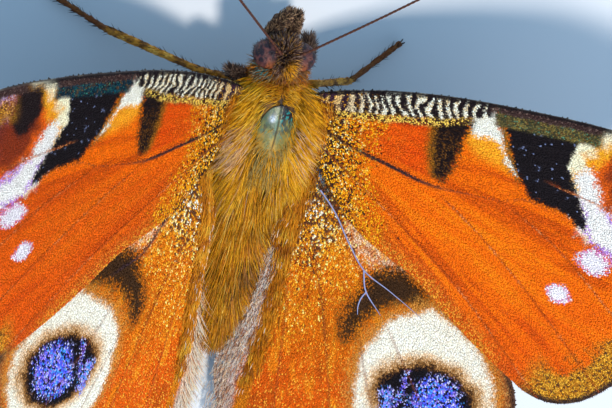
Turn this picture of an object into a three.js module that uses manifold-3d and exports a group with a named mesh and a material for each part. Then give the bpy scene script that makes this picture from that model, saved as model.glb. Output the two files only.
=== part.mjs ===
// Peacock butterfly standing with its wings open in a shallow V, at life size.
// Millimetres. +X is the animal's right, +Y is towards its head and +Z is up.
// The origin is the middle of the bounding box, on the floor that the feet stand on.
import * as THREE from 'three';
import { mergeVertices } from 'three/addons/utils/BufferGeometryUtils.js';
import Module from 'manifold-3d';

const wasm = await Module();
wasm.setup();

// Stance
const BODY_PITCH = THREE.MathUtils.degToRad(10);
const HINGE_HEIGHT = 6.9;
const GAP = 0.3;

// Wing set: both pairs rise from the hinge and droop a little towards the tips
const HINGE_X = 2.5;
const WING_RISE = THREE.MathUtils.degToRad(36);
const WING_DROOP = THREE.MathUtils.degToRad(-0.3);
const FOLD_ANGLE = THREE.MathUtils.degToRad(76);
const FOLD_RADIUS = 0.8;
const MEMBRANE = 0.5;
const VEIN_RISE = 0.2;
const VEIN_HALF_WIDTH = 0.4;
const VEIN_STEP = 1.9;
const EDGE_STEP = 1.4;
const FILL_STEP = 2.6;
const HINDWING_DROP = 1.0;

// Thorax, along the body from the collar to the waist
const THORAX_FRONT = 0.95;
const THORAX_BACK = -4.9;
const THORAX_HALF_WIDTH = 2.0;
const THORAX_HALF_HEIGHT = 2.25;
const THORAX_AXIS_Z = -1.15;

// Abdomen
const ABDOMEN_FRONT = THORAX_BACK - GAP;
const ABDOMEN_BACK = -17.0;
const ABDOMEN_RADIUS = 1.45;
const ABDOMEN_RINGS = 8;

// Head
const HEAD_CENTRE = new THREE.Vector3(0, 2.25, -0.75);
const HEAD_HALF_WIDTH = 0.85;
const HEAD_HALF_LENGTH = 0.95;
const HEAD_HALF_HEIGHT = 1.15;
const EYE_RADIUS = 0.92;
const EYE_DEPTH = 0.8;
const ANTENNA_LENGTH = 13.5;
const ANTENNA_RADIUS = 0.25;
const CLUB_RADIUS = 0.45;
const CLUB_LENGTH = 2.4;

// Coat: flat tapered locks of hair
const LOCK_WIDTH = 0.85;
const LOCK_THICKNESS = 0.5;
const LOCK_SINK = 0.45;

// Legs
const FEMUR_RADIUS = 0.36;
const TIBIA_RADIUS = 0.3;
const TARSUS_RADIUS = 0.25;

const v3 = (x, y, z) => new THREE.Vector3(x, y, z);
const smooth = (a, b, x) => THREE.MathUtils.smoothstep(x, a, b);

// Seeded random numbers between 0 and 1, so that every build is alike.
function seeded(seed) {
  let state = seed >>> 0;
  return () => {
    state = (Math.imul(state, 1664525) + 1013904223) >>> 0;
    return state / 4294967296;
  };
}

// A closed geometry from shared corner points and triangles.
function closedGeometry(points, faces) {
  const geometry = new THREE.BufferGeometry();
  const flat = points.flatMap((p) => [p.x, p.y, p.z]);
  geometry.setAttribute('position', new THREE.Float32BufferAttribute(flat, 3));
  geometry.setIndex(faces.flat());
  return geometry;
}

// Joins closed pieces and keeps the largest closed surface.
function fuse(geometries) {
  let joined = null;
  for (const piece of geometries) {
    const bare = piece.clone();
    bare.deleteAttribute('normal');
    bare.deleteAttribute('uv');
    const merged = mergeVertices(bare, 1e-4);
    const solid = new wasm.Manifold(new wasm.Mesh({
      numProp: 3,
      vertProperties: new Float32Array(merged.attributes.position.array),
      triVerts: new Uint32Array(merged.index.array),
    }));
    joined = joined ? joined.add(solid) : solid;
  }
  const bodies = joined.decompose();
  bodies.sort((a, b) => b.volume() - a.volume());
  const mesh = bodies[0].getMesh();
  const geometry = new THREE.BufferGeometry();
  geometry.setAttribute('position', new THREE.Float32BufferAttribute(mesh.vertProperties, 3));
  geometry.setIndex(Array.from(mesh.triVerts));
  return geometry;
}

// A tube of elliptical rings along a path. A station is {at, w, h}, its half width and half height;
// one with w 0 is a point. The rings stand square to the path, with their height nearest to `up`.
function tube(stations, sides, up = v3(0, 0, 1)) {
  const points = [];
  const faces = [];
  const rings = [];
  stations.forEach((station, i) => {
    const before = stations[Math.max(i - 1, 0)].at;
    const after = stations[Math.min(i + 1, stations.length - 1)].at;
    const along = (station.along ?? after.clone().sub(before)).clone().normalize();
    const side = along.clone().cross(up).normalize();
    const top = side.clone().cross(along).normalize();
    const count = station.w === 0 ? 1 : sides;
    rings.push({ first: points.length, count });
    for (let k = 0; k < count; k += 1) {
      const angle = (2 * Math.PI * k) / sides;
      points.push(station.at.clone()
        .addScaledVector(side, station.w * Math.cos(angle))
        .addScaledVector(top, (station.h ?? station.w) * Math.sin(angle)));
    }
  });
  for (let i = 0; i + 1 < rings.length; i += 1) {
    const a = rings[i];
    const b = rings[i + 1];
    for (let k = 0; k < sides; k += 1) {
      const next = (k + 1) % sides;
      if (a.count > 1) faces.push([a.first + next, a.first + k, b.first + (b.count > 1 ? next : 0)]);
      if (b.count > 1) faces.push([b.first + next, a.first + (a.count > 1 ? k : 0), b.first + k]);
    }
  }
  // Where the station before or after is a point, the fan above already closes the end.
  const first = rings[0];
  const last = rings[rings.length - 1];
  for (let k = 1; k + 1 < first.count; k += 1) {
    faces.push([first.first, first.first + k, first.first + k + 1]);
  }
  for (let k = 1; k + 1 < last.count; k += 1) faces.push([last.first, last.first + k + 1, last.first + k]);
  return closedGeometry(points, faces);
}

// Wing plan. s runs outward from the hinge along the wing and u forward, both in millimetres.
const FOREWING = {
  outline: [
    [-0.1, 0.35], [2.4, 1.4], [4.7, 2.15], [8.2, 2.95], [12.0, 3.5], [16.6, 3.95], [21.2, 3.95],
    [25.0, 3.25], [27.6, 2.05], [28.9, 0.6], [29.0, -0.9], [27.7, -2.7], [25.8, -4.4],
    [24.3, -6.2], [23.3, -8.0], [22.5, -9.9], [21.2, -11.7], [19.8, -13.1], [18.2, -13.8],
    [16.6, -13.7], [15.3, -13.1], [13.0, -11.9], [10.4, -10.3], [8.3, -8.9], [5.8, -7.9],
    [4.0, -7.0], [2.2, -5.4], [0.8, -3.8], [-0.1, -2.8], [-0.25, -1.8], [-0.25, -0.6],
  ],
  veins: {
    subcosta: [[0.1, 0.0], [5.0, 1.5], [10.0, 2.45], [14.5, 3.2], [18.5, 3.95]],
    radius: [[0.1, -0.6], [4.0, 0.55], [8.5, 1.3], [12.2, 1.5], [13.6, 1.1], [20.0, 0.9], [28.3, -1.9]],
    radius5: [[12.2, 1.5], [18.0, 2.3], [23.5, 2.2], [28.9, 0.5]],
    crossvein: [[13.6, 1.1], [14.1, -0.2], [13.9, -1.8]],
    media2: [[14.1, -0.2], [20.0, -1.2], [26.4, -3.8]],
    cubitus: [[0.1, -1.5], [2.4, -2.05], [5.2, -2.45], [7.8, -2.8], [10.1, -2.55], [12.2, -2.3],
      [13.9, -1.8], [18.0, -2.9], [24.4, -6.1]],
    cubitus1: [[12.2, -2.3], [16.0, -4.1], [20.0, -7.0], [22.8, -9.2]],
    cubitus2: [[7.8, -2.8], [11.6, -4.95], [16.0, -8.2], [20.7, -12.2]],
    anal: [[0.1, -2.3], [2.4, -3.5], [4.5, -4.6], [7.1, -6.1], [11.3, -8.8], [17.2, -13.75]],
  },
};
const HINDWING = {
  outline: [
    [-0.9, -3.2], [1.2, -3.6], [3.4, -4.3], [5.6, -5.3], [8.2, -7.0], [11.0, -9.4], [13.4, -11.6],
    [15.0, -13.3], [15.9, -15.0], [16.0, -16.7], [15.6, -18.2], [14.9, -19.6], [14.3, -21.3],
    [13.1, -21.4], [11.5, -21.7], [10.0, -22.6], [8.2, -22.9], [6.4, -23.6], [4.3, -23.7],
    [2.2, -23.9], [0.4, -23.5], [-1.2, -22.6],
  ],
  veins: {
    costal: [[-0.3, -4.0], [4.0, -6.1], [9.0, -9.4], [12.6, -12.0], [15.8, -15.1]],
    radial: [[-0.3, -4.6], [2.2, -6.6], [3.7, -8.3], [5.1, -9.7], [6.9, -10.5], [8.8, -11.4],
      [10.3, -12.3], [12.1, -14.0], [13.8, -16.1], [15.6, -18.3]],
    radial2: [[3.7, -8.3], [7.0, -9.6], [10.4, -11.0], [13.6, -13.6], [16.0, -16.7]],
    medial: [[5.1, -9.7], [5.6, -10.9], [7.1, -12.3], [9.0, -14.6], [11.6, -18.0], [14.3, -21.3]],
    cubital: [[5.6, -10.9], [5.4, -12.0], [6.4, -15.0], [8.2, -19.0], [10.0, -22.6]],
    cubital2: [[-0.3, -5.2], [1.6, -8.5], [3.2, -12.5], [4.8, -17.5], [6.4, -23.6]],
    anal: [[0.1, -8.5], [1.0, -13.0], [1.6, -18.0], [2.2, -23.9]],
  },
};

// Inner margin of each hind wing: the crest line s = crest(u), and how far the fold hangs below it.
const CREST = {
  right: [[-4, 0.1], [-9, 0.2], [-13.5, 0.2], [-16.3, 0.1], [-19.2, -0.3], [-21.5, -0.3], [-25, -0.2]],
  left: [[-4, 0.1], [-9, 0.0], [-13.5, -0.22], [-16.3, -0.5], [-19.2, -0.8], [-21.5, -0.6], [-25, -0.3]],
};
const FOLD_DEPTH = [[-3, 1.0], [-5.4, 1.0], [-6.8, 0.7], [-8, 0.8], [-9, 1.4], [-12, 2.9], [-15, 3.1],
  [-18, 3.0], [-20.5, 2.4], [-22.6, 0.9], [-25, 0.5]];

function lookUp(table, u) {
  if (u >= table[0][0]) return table[0][1];
  for (let i = 1; i < table.length; i += 1) {
    const [u1, b] = table[i];
    const [u0, a] = table[i - 1];
    if (u >= u1) return a + ((b - a) * (u - u0)) / (u1 - u0);
  }
  return table[table.length - 1][1];
}

// How far the hind wing's middle surface lies from the fore wing's: under it, then level behind it.
function hindDrop(s, u) {
  return -HINDWING_DROP + 0.8 * smooth(0.8, 5.5, -3.6 - 0.66 * s - u);
}

// A point of a wing's middle surface moved by n along its normal, for the right side (side 1) or left.
function wingPoint(side, s, u, n, hind) {
  const crest = hind ? lookUp(side > 0 ? CREST.right : CREST.left, u) : -9;
  const from = Math.max(s, crest);
  let angle = WING_RISE + WING_DROOP * from;
  const level = n + (hind ? hindDrop(from, u) : 0);
  let x = HINGE_X + (Math.sin(angle) - Math.sin(WING_RISE)) / WING_DROOP;
  let z = (Math.cos(WING_RISE) - Math.cos(angle)) / WING_DROOP;
  const base = angle;
  const steps = 10;
  for (let i = 1; i <= steps && s < crest; i += 1) {
    const piece = (crest - s) / steps;
    angle = base + (FOLD_ANGLE - base) * Math.min(1, (piece * (i - 0.5)) / FOLD_RADIUS);
    x -= Math.cos(angle) * piece;
    z -= Math.sin(angle) * piece;
  }
  return v3(side * (x - level * Math.sin(angle)), u, z + level * Math.cos(angle));
}

function resample(points, step, closed) {
  const curve = new THREE.CatmullRomCurve3(points.map(([s, u]) => v3(s, u, 0)), closed, 'centripetal');
  const count = Math.max(2, Math.round(curve.getLength() / step));
  const list = curve.getSpacedPoints(count);
  if (closed) list.pop();
  return list.map((p) => [p.x, p.y]);
}

function distanceToPath(p, path, closed = false) {
  let best = Infinity;
  const last = closed ? path.length : path.length - 1;
  for (let i = 0; i < last; i += 1) {
    const a = path[i];
    const b = path[(i + 1) % path.length];
    const d = [b[0] - a[0], b[1] - a[1]];
    const t = THREE.MathUtils.clamp(
      ((p[0] - a[0]) * d[0] + (p[1] - a[1]) * d[1]) / (d[0] * d[0] + d[1] * d[1]), 0, 1);
    best = Math.min(best, Math.hypot(p[0] - a[0] - t * d[0], p[1] - a[1] - t * d[1]));
  }
  return best;
}

function inside(p, ring) {
  let odd = false;
  for (let i = 0, j = ring.length - 1; i < ring.length; j = i, i += 1) {
    const [a, b] = [ring[i], ring[j]];
    if (a[1] > p[1] !== b[1] > p[1] && p[0] < ((b[0] - a[0]) * (p[1] - a[1])) / (b[1] - a[1]) + a[0]) {
      odd = !odd;
    }
  }
  return odd;
}

// Delaunay triangles of a set of plan points, one point added at a time.
function delaunay(points) {
  const all = points.concat([[-900, -900], [900, -900], [0, 900]]);
  const n = points.length;
  const circle = (i, j, k) => {
    const [ax, ay] = all[i];
    const [bx, by] = [all[j][0] - ax, all[j][1] - ay];
    const [cx, cy] = [all[k][0] - ax, all[k][1] - ay];
    const d = 2 * (bx * cy - by * cx);
    const x = (cy * (bx * bx + by * by) - by * (cx * cx + cy * cy)) / d;
    const y = (bx * (cx * cx + cy * cy) - cx * (bx * bx + by * by)) / d;
    return { t: [i, j, k], x: x + ax, y: y + ay, r: x * x + y * y };
  };
  let triangles = [circle(n, n + 1, n + 2)];
  for (let p = 0; p < n; p += 1) {
    const edges = new Map();
    triangles = triangles.filter((c) => {
      if ((all[p][0] - c.x) ** 2 + (all[p][1] - c.y) ** 2 >= c.r) return true;
      for (let e = 0; e < 3; e += 1) {
        const [a, b] = [c.t[e], c.t[(e + 1) % 3]];
        if (edges.has(`${b},${a}`)) edges.delete(`${b},${a}`);
        else edges.set(`${a},${b}`, [a, b]);
      }
      return false;
    });
    for (const [a, b] of edges.values()) triangles.push(circle(a, b, p));
  }
  return triangles.filter((c) => c.t.every((i) => i < n)).map((c) => c.t);
}

// A wing: one membrane with its veins raised in the upper surface, the same triangles on both faces.
function wing(plan, side, hind) {
  const outlinePoints = plan.outline.slice();
  if (hind) {
    // The inner margin runs back to the root along the hanging edge of the fold.
    const crest = side > 0 ? CREST.right : CREST.left;
    for (let u = -21.4; u < -4.0; u += 1.45) {
      outlinePoints.push([lookUp(crest, u) - lookUp(FOLD_DEPTH, u), u]);
    }
  }
  const ring = resample(outlinePoints, EDGE_STEP, true);
  const points = ring.map((p) => ({ p, h: 0 }));
  const paths = Object.values(plan.veins).map((vein) => resample(vein, VEIN_STEP, false));
  const far = (p, d) => points.every((q) => Math.hypot(q.p[0] - p[0], q.p[1] - p[1]) > d);
  for (const path of paths) {
    path.forEach((p, i) => {
      const taper = 1 - (0.45 * i) / path.length;
      if (inside(p, ring) && distanceToPath(p, ring, true) > 0.45 && far(p, 0.3)) {
        points.push({ p, h: VEIN_RISE * taper });
      }
    });
  }
  paths.forEach((path, which) => {
    for (let i = 1; i < path.length - 1; i += 1) {
      const d = [path[i + 1][0] - path[i - 1][0], path[i + 1][1] - path[i - 1][1]];
      const length = Math.hypot(d[0], d[1]);
      for (const way of [-1, 1]) {
        const offset = (way * VEIN_HALF_WIDTH) / length;
        const p = [path[i][0] - d[1] * offset, path[i][1] + d[0] * offset];
        const clear = paths.every((other, j) => j === which || distanceToPath(p, other) > 0.38);
        if (clear && inside(p, ring) && distanceToPath(p, ring, true) > 0.35 && far(p, 0.3)) {
          points.push({ p, h: 0 });
        }
      }
    }
  });
  for (let s = -4; s < 30; s += FILL_STEP) {
    for (let u = -25; u < 5; u += FILL_STEP) {
      const p = [s + 0.13 * Math.sin(7 * u), u + 0.13 * Math.sin(5 * s)];
      if (inside(p, ring) && distanceToPath(p, ring, true) > 0.9 && far(p, 1.3)) points.push({ p, h: 0 });
    }
  }
  if (hind) {
    // Extra rows where the inner margin folds down.
    for (let u = -21.5; u < -7.5; u += 1.9) {
      const crest = lookUp(side > 0 ? CREST.right : CREST.left, u);
      for (const e of [0, 0.5, 1.2]) {
        const p = [crest - e, u + 0.05 * e];
        if (inside(p, ring) && distanceToPath(p, ring, true) > 0.5 && far(p, 0.4)) points.push({ p, h: 0 });
      }
    }
  }
  const jitter = seeded(11);
  const plan2 = points.map(({ p }) => [p[0] + 1e-4 * jitter(), p[1] + 1e-4 * jitter()]);
  const triangles = delaunay(plan2).filter(([a, b, c]) => {
    const middle = [0, 1].map((k) => (plan2[a][k] + plan2[b][k] + plan2[c][k]) / 3);
    return inside(middle, ring);
  });
  const count = points.length;
  const corners = [];
  points.forEach(({ p, h }) => corners.push(wingPoint(side, p[0], p[1], MEMBRANE / 2 + h, hind)));
  points.forEach(({ p }) => corners.push(wingPoint(side, p[0], p[1], -MEMBRANE / 2, hind)));
  const faces = [];
  const open = new Map();
  for (const [a, b, c] of triangles) {
    faces.push([a, b, c]);
    faces.push([a + count, c + count, b + count]);
    for (const [i, j] of [[a, b], [b, c], [c, a]]) {
      if (open.has(`${j},${i}`)) open.delete(`${j},${i}`);
      else open.set(`${i},${j}`, [i, j]);
    }
  }
  for (const [i, j] of open.values()) {
    faces.push([j, i, i + count]);
    faces.push([j, i + count, j + count]);
  }
  return closedGeometry(corners, side > 0 ? faces : faces.map(([a, b, c]) => [a, c, b]));
}

// A flat tapered lock of hair, its root sunk in along -out, that bends over to lie along `lie`.
function lock(root, out, lie, length, lift, width = LOCK_WIDTH, sink = LOCK_SINK) {
  const at = (along, up) => root.clone().addScaledVector(lie, along * length).addScaledVector(out, up);
  const path = new THREE.QuadraticBezierCurve3(at(-0.05, -sink), at(0.3, lift * 1.5), at(1, lift * 0.6));
  const marks = [[0, 0.45, 1], [0.32, 0.5, 0.95], [0.62, 0.42, 0.75], [0.86, 0.24, 0.5], [1, 0, 0]];
  return tube(marks.map(([t, w, h]) => ({
    at: path.getPoint(t),
    w: w * width,
    h: h * LOCK_THICKNESS * 0.5,
  })), 4, out);
}

// Thorax: a deep barrel, fullest behind the collar.
function thoraxSwell(y) {
  const t = (THORAX_FRONT - y) / (THORAX_FRONT - THORAX_BACK);
  return 0.55 + 0.45 * Math.sin(Math.PI * THREE.MathUtils.clamp(0.12 + t * 0.86, 0, 1)) ** 0.7;
}

function thorax() {
  const stations = [];
  const count = 8;
  for (let i = 0; i <= count; i += 1) {
    const y = THREE.MathUtils.lerp(THORAX_FRONT, THORAX_BACK, i / count);
    const swell = thoraxSwell(y);
    stations.push({
      at: v3(0, y, THORAX_AXIS_Z),
      w: THORAX_HALF_WIDTH * swell,
      h: THORAX_HALF_HEIGHT * swell,
      along: v3(0, -1, 0),
    });
  }
  return tube(stations, 16);
}

// Fur of the thorax, row by row from the collar back. Each row has locks at angles from the top of the
// back; the shining plate on the back stays bare, and so do the flanks where the wings grow.
const THORAX_FUR = [
  { y: 0.6, angles: [0, 32, 62, 104, 150], length: 1.2, lift: 0.4 },
  { y: -0.3, angles: [22, 40, 168], length: 1.9, lift: 0.3 },
  { y: -1.5, angles: [39, 165], length: 2.1, lift: 0.3 },
  { y: -2.5, angles: [18, 42], length: 2.2, lift: 0.3 },
  { y: -3.2, angles: [0, 34, 168], length: 2.3, lift: 0.32 },
  { y: -4.2, angles: [16, 50], length: 2.2, lift: 0.34 },
];

function thoraxFur() {
  const random = seeded(5);
  const locks = [];
  for (const { y, angles, length, lift } of THORAX_FUR) {
    for (const degrees of angles) {
      for (const side of degrees === 0 ? [0] : [1, -1]) {
        const angle = THREE.MathUtils.degToRad(side * degrees + 3 * (random() - 0.5));
        const w = THORAX_HALF_WIDTH * thoraxSwell(y);
        const h = THORAX_HALF_HEIGHT * thoraxSwell(y);
        const root = v3(w * Math.sin(angle), y, THORAX_AXIS_Z + h * Math.cos(angle));
        const out = v3(Math.sin(angle) / w, 0, Math.cos(angle) / h).normalize();
        const lie = v3(0.1 * side, -1, 0.08 * (random() - 0.5)).normalize();
        locks.push(lock(root, out, lie, length * (0.9 + 0.2 * random()), lift));
      }
    }
  }
  return locks;
}

// Abdomen: a spindle of ringed segments that sags a little behind the waist.
function abdomenAxis(y) {
  const t = (ABDOMEN_FRONT - y) / (ABDOMEN_FRONT - ABDOMEN_BACK);
  return v3(0.2 * t, y, -1.45 - 0.85 * Math.sin(Math.PI * Math.min(1, t * 1.15) * 0.5) + 0.4 * t ** 4);
}

function abdomenRadius(y) {
  const t = (ABDOMEN_FRONT - y) / (ABDOMEN_FRONT - ABDOMEN_BACK);
  return ABDOMEN_RADIUS * (0.72 + 0.28 * smooth(0, 0.25, t)) * Math.sqrt(Math.max(0.05, 1 - t ** 3.2));
}

function abdomen() {
  const stations = [];
  const length = ABDOMEN_FRONT - ABDOMEN_BACK;
  for (let i = 0; i < ABDOMEN_RINGS; i += 1) {
    for (const [part, pinch] of [[0.0, 0.93], [0.4, 1.02]]) {
      const y = ABDOMEN_FRONT - (length * (i + part)) / ABDOMEN_RINGS;
      const r = abdomenRadius(y) * pinch;
      stations.push({ at: abdomenAxis(y), w: r, h: r * 1.04, along: v3(0, -1, 0) });
    }
  }
  const r = abdomenRadius(ABDOMEN_BACK + 0.15);
  stations.push({ at: abdomenAxis(ABDOMEN_BACK + 0.15), w: r, h: r, along: v3(0, -1, 0) });
  return tube(stations, 12);
}

// Long hair along the top of the abdomen, shorter and sparser towards the tip, and a tuft on the tip.
const ABDOMEN_FUR = [
  { y: -6.9, angles: [16, 48], length: 2.7 },
  { y: -8.5, angles: [0, 33], length: 2.8 },
  { y: -10.1, angles: [16, 38], length: 2.8 },
  { y: -11.7, angles: [0, 32], length: 2.6 },
  { y: -13.2, angles: [16, 34], length: 2.4 },
  { y: -14.6, angles: [0, 32], length: 2.0 },
  { y: -15.8, angles: [20, 150], length: 1.5 },
];

function abdomenFur() {
  const random = seeded(9);
  const locks = [];
  for (const { y, angles, length } of ABDOMEN_FUR) {
    for (const degrees of angles) {
      for (const side of degrees === 0 ? [0] : [1, -1]) {
        const angle = THREE.MathUtils.degToRad(side * degrees + 4 * (random() - 0.5));
        const out = v3(Math.sin(angle), 0, Math.cos(angle));
        const root = abdomenAxis(y).addScaledVector(out, abdomenRadius(y));
        const down = 0.06 + 0.1 * smooth(-12, -16, y);
        const lie = v3(-down * out.x, -1, -down * out.z + 0.05 * (random() - 0.5)).normalize();
        locks.push(lock(root, out, lie, length * (0.9 + 0.2 * random()), 0.3));
      }
    }
  }
  return locks;
}

// Long hair on the inner part of a hind wing, lying back along the crest of its fold.
const HINDWING_FUR = [
  [0.9, -5.6], [1.5, -6.6], [0.7, -7.2], [1.3, -8.4], [0.7, -9.4], [1.2, -10.8], [0.7, -12.4],
];

function hindwingFur(side) {
  const locks = [];
  HINDWING_FUR.forEach(([s, u], i) => {
    const root = wingPoint(side, s, u, MEMBRANE / 2, true);
    const out = wingPoint(side, s, u, MEMBRANE / 2 + 1, true).sub(root);
    const lie = wingPoint(side, s - 0.1, u - 1, MEMBRANE / 2, true).sub(root).normalize();
    locks.push(lock(root, out, lie, 2.7 - 0.1 * (i % 3), 0.22, 0.75, 0.28));
  });
  return locks;
}

// Head: a narrow capsule with flat cheeks, one large domed eye standing off each cheek.
function head() {
  const stations = [];
  const count = 8;
  for (let i = 0; i <= count; i += 1) {
    const t = -0.97 + (1.94 * i) / count;
    const r = Math.sqrt(1 - t * t);
    stations.push({
      at: HEAD_CENTRE.clone().add(v3(0, -t * HEAD_HALF_LENGTH, 0.1 * t)),
      w: HEAD_HALF_WIDTH * Math.min(1, 1.3 * r),
      h: HEAD_HALF_HEIGHT * r,
      along: v3(0, -1, 0),
    });
  }
  return tube(stations, 14);
}

// Short tufts on the crown and the face.
function headFur() {
  const locks = [];
  for (const [x, y, z] of [[0, 0.25, 1], [0.45, -0.1, 0.9], [-0.45, -0.1, 0.9], [0, 0.75, 0.62]]) {
    const offset = v3(x * HEAD_HALF_WIDTH, y * HEAD_HALF_LENGTH, z * HEAD_HALF_HEIGHT * 0.93);
    const root = HEAD_CENTRE.clone().add(offset);
    const out = v3(x * 0.4, y * 0.6, z).normalize();
    const lie = y > 0.5 ? v3(x * 0.3, 0.35, -1).normalize() : v3(x * 0.3, -1, 0.25).normalize();
    locks.push(lock(root, out, lie, 0.8, 0.28, 0.55, 0.3));
  }
  return locks;
}

function eye(side) {
  const stations = [];
  const count = 5;
  for (let i = 0; i <= count; i += 1) {
    const angle = (i / count) * Math.PI * 0.5;
    const across = HEAD_HALF_WIDTH + GAP + EYE_DEPTH * Math.sin(angle);
    stations.push({
      at: HEAD_CENTRE.clone().add(v3(side * across, 0.05, 0.12)),
      w: i === count ? 0 : EYE_RADIUS * Math.cos(angle) ** 0.8,
      h: EYE_RADIUS * 1.08 * Math.cos(angle) ** 0.8,
      along: v3(side, 0, 0),
    });
  }
  return tube(stations, 16);
}

// The folded front leg with its brush of hair, from the shoulder outwards.
function foreleg(path) {
  const limb = tube(path.map((at, i) => ({ at, w: [0.3, 0.38, 0.36, 0.18][i] })), 8);
  const along = path[3].clone().sub(path[1]).normalize();
  const up = v3(0, 0.4, 1).projectOnPlane(along).normalize();
  const across = along.clone().cross(up);
  const locks = [];
  for (const [t, turn] of [[1.2, 0.3], [1.6, -0.9], [2.0, 1.0], [2.4, -0.2], [2.6, 2.6]]) {
    const i = Math.floor(t);
    const root = path[i].clone().lerp(path[i + 1], t - i);
    const out = up.clone().multiplyScalar(Math.cos(turn)).addScaledVector(across, Math.sin(turn));
    locks.push(lock(root.addScaledVector(out, 0.28), out, along, 1.0, 0.25, 0.5, 0.3));
  }
  return fuse([limb, ...locks]);
}

// A palp: an upturned scaly feeler before the face.
function palp(side) {
  const path = new THREE.CatmullRomCurve3([
    v3(side * 0.85, 2.85, -2.3), v3(side * 0.8, 3.4, -2.1), v3(side * 0.62, 4.1, -1.5),
    v3(side * 0.5, 4.7, -1.05), v3(side * 0.44, 5.15, -0.75),
  ]);
  const radii = [0.24, 0.3, 0.34, 0.3, 0.16];
  return tube(path.getPoints(4).map((at, i) => ({ at, w: radii[i] * 0.8, h: radii[i] })), 8);
}

// The coiled tongue under the face, one and a quarter turns.
function proboscis() {
  const stations = [];
  const turns = 1.25;
  for (let i = 0; i <= 18; i += 1) {
    const t = i / 18;
    const angle = Math.PI * 0.5 - t * turns * 2 * Math.PI;
    const r = 0.8 - 0.56 * t;
    stations.push({
      at: v3(0, 3.0 + r * Math.cos(angle), -3.1 + r * Math.sin(angle)),
      w: 0.22,
      h: 0.2 - 0.06 * t,
    });
  }
  return tube(stations, 6, v3(1, 0, 0));
}

// An antenna: a thin whip that ends in a flattened club.
function antenna(side) {
  const root = v3(side * 0.62, 3.0, 0.62);
  const far = v3(side * 0.673, 0.677, 0.3).normalize();
  const path = new THREE.CatmullRomCurve3([
    root,
    root.clone().addScaledVector(far, ANTENNA_LENGTH * 0.4).add(v3(0, 0, 0.15)),
    root.clone().addScaledVector(far, ANTENNA_LENGTH * 0.8).add(v3(side * 0.1, 0, 0.05)),
    root.clone().addScaledVector(far, ANTENNA_LENGTH).add(v3(side * 0.25, -0.1, -0.15)),
  ]);
  const marks = [0, 0.2, 0.4, 0.6, 0.78, 0.84, 0.89, 0.95, 0.985, 1];
  const club = 1 - CLUB_LENGTH / ANTENNA_LENGTH;
  return tube(marks.map((t) => {
    const grown = smooth(club - 0.03, club + 0.1, t);
    const blunt = t > 0.99 ? 0.45 : 0.8;
    const r = THREE.MathUtils.lerp(ANTENNA_RADIUS, CLUB_RADIUS, grown) * (t > 0.97 ? blunt : 1);
    return { at: path.getPointAt(t), w: r, h: r * (1 - 0.2 * grown) };
  }), 8);
}

// Body points are given along the body and stood at its pitch over the floor for the legs.
function overFloor(x, y, z) {
  return v3(x, y, z).applyAxisAngle(v3(1, 0, 0), BODY_PITCH).add(v3(0, 0, HINGE_HEIGHT));
}

// A leg from its hip to its foot, with thicker joints and a small flat under the foot.
function leg(hip, knee, ankle, toe) {
  const bend = (a, b, t) => a.clone().lerp(b, t);
  const along = knee.clone().sub(hip).normalize();
  const limb = tube([
    { at: hip, w: 0.3 },
    { at: bend(hip, knee, 0.18), w: FEMUR_RADIUS },
    { at: bend(hip, knee, 0.55), w: FEMUR_RADIUS },
    { at: bend(hip, knee, 0.88), w: FEMUR_RADIUS * 0.85 },
    { at: knee.clone().addScaledVector(along, 0.05), w: FEMUR_RADIUS * 0.95 },
    { at: bend(knee, ankle, 0.14), w: TIBIA_RADIUS },
    { at: bend(knee, ankle, 0.6), w: TIBIA_RADIUS * 1.05 },
    { at: bend(knee, ankle, 0.95), w: TIBIA_RADIUS * 1.1 },
    { at: bend(ankle, toe, 0.12), w: TARSUS_RADIUS },
    { at: bend(ankle, toe, 0.45), w: TARSUS_RADIUS },
    { at: bend(ankle, toe, 0.75), w: TARSUS_RADIUS },
    { at: bend(ankle, toe, 1.0), w: TARSUS_RADIUS * 0.9 },
  ], 8);
  const away = toe.clone().sub(ankle).setZ(0).normalize();
  const sole = toe.clone().addScaledVector(away, -0.25).setZ(0);
  const foot = tube([
    { at: sole.clone(), w: 0.34, h: 0.5, along: v3(0, 0, 1) },
    { at: sole.clone().setZ(0.22), w: 0.32, h: 0.48, along: v3(0, 0, 1) },
    { at: sole.clone().setZ(0.5), w: 0.15, h: 0.22, along: v3(0, 0, 1) },
  ], 8, away);
  return fuse([limb, foot]);
}

const MATERIALS = {
  fur: { color: 0xa8741c, roughness: 0.95 },
  abdomen: { color: 0x6a4a22, roughness: 0.95 },
  face: { color: 0x3a261a, roughness: 0.9 },
  eye: { color: 0x2a1614, roughness: 0.35 },
  antenna: { color: 0x5a2f1c, roughness: 0.6 },
  leg: { color: 0xa9802c, roughness: 0.8 },
  forewing: { color: 0xd9590f, roughness: 0.85 },
  hindwing: { color: 0xc8620f, roughness: 0.85 },
};

function part(name, geometry, look) {
  const material = new THREE.MeshStandardMaterial({ ...MATERIALS[look], metalness: 0 });
  const mesh = new THREE.Mesh(geometry, material);
  mesh.name = name;
  return mesh;
}

const body = new THREE.Group();
body.rotation.x = BODY_PITCH;
body.position.z = HINGE_HEIGHT;
body.add(part('thorax', fuse([thorax(), ...thoraxFur()]), 'fur'));
body.add(part('abdomen', fuse([abdomen(), ...abdomenFur()]), 'abdomen'));
body.add(part('head', fuse([head(), ...headFur()]), 'face'));
body.add(part('proboscis', proboscis(), 'antenna'));

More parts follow.
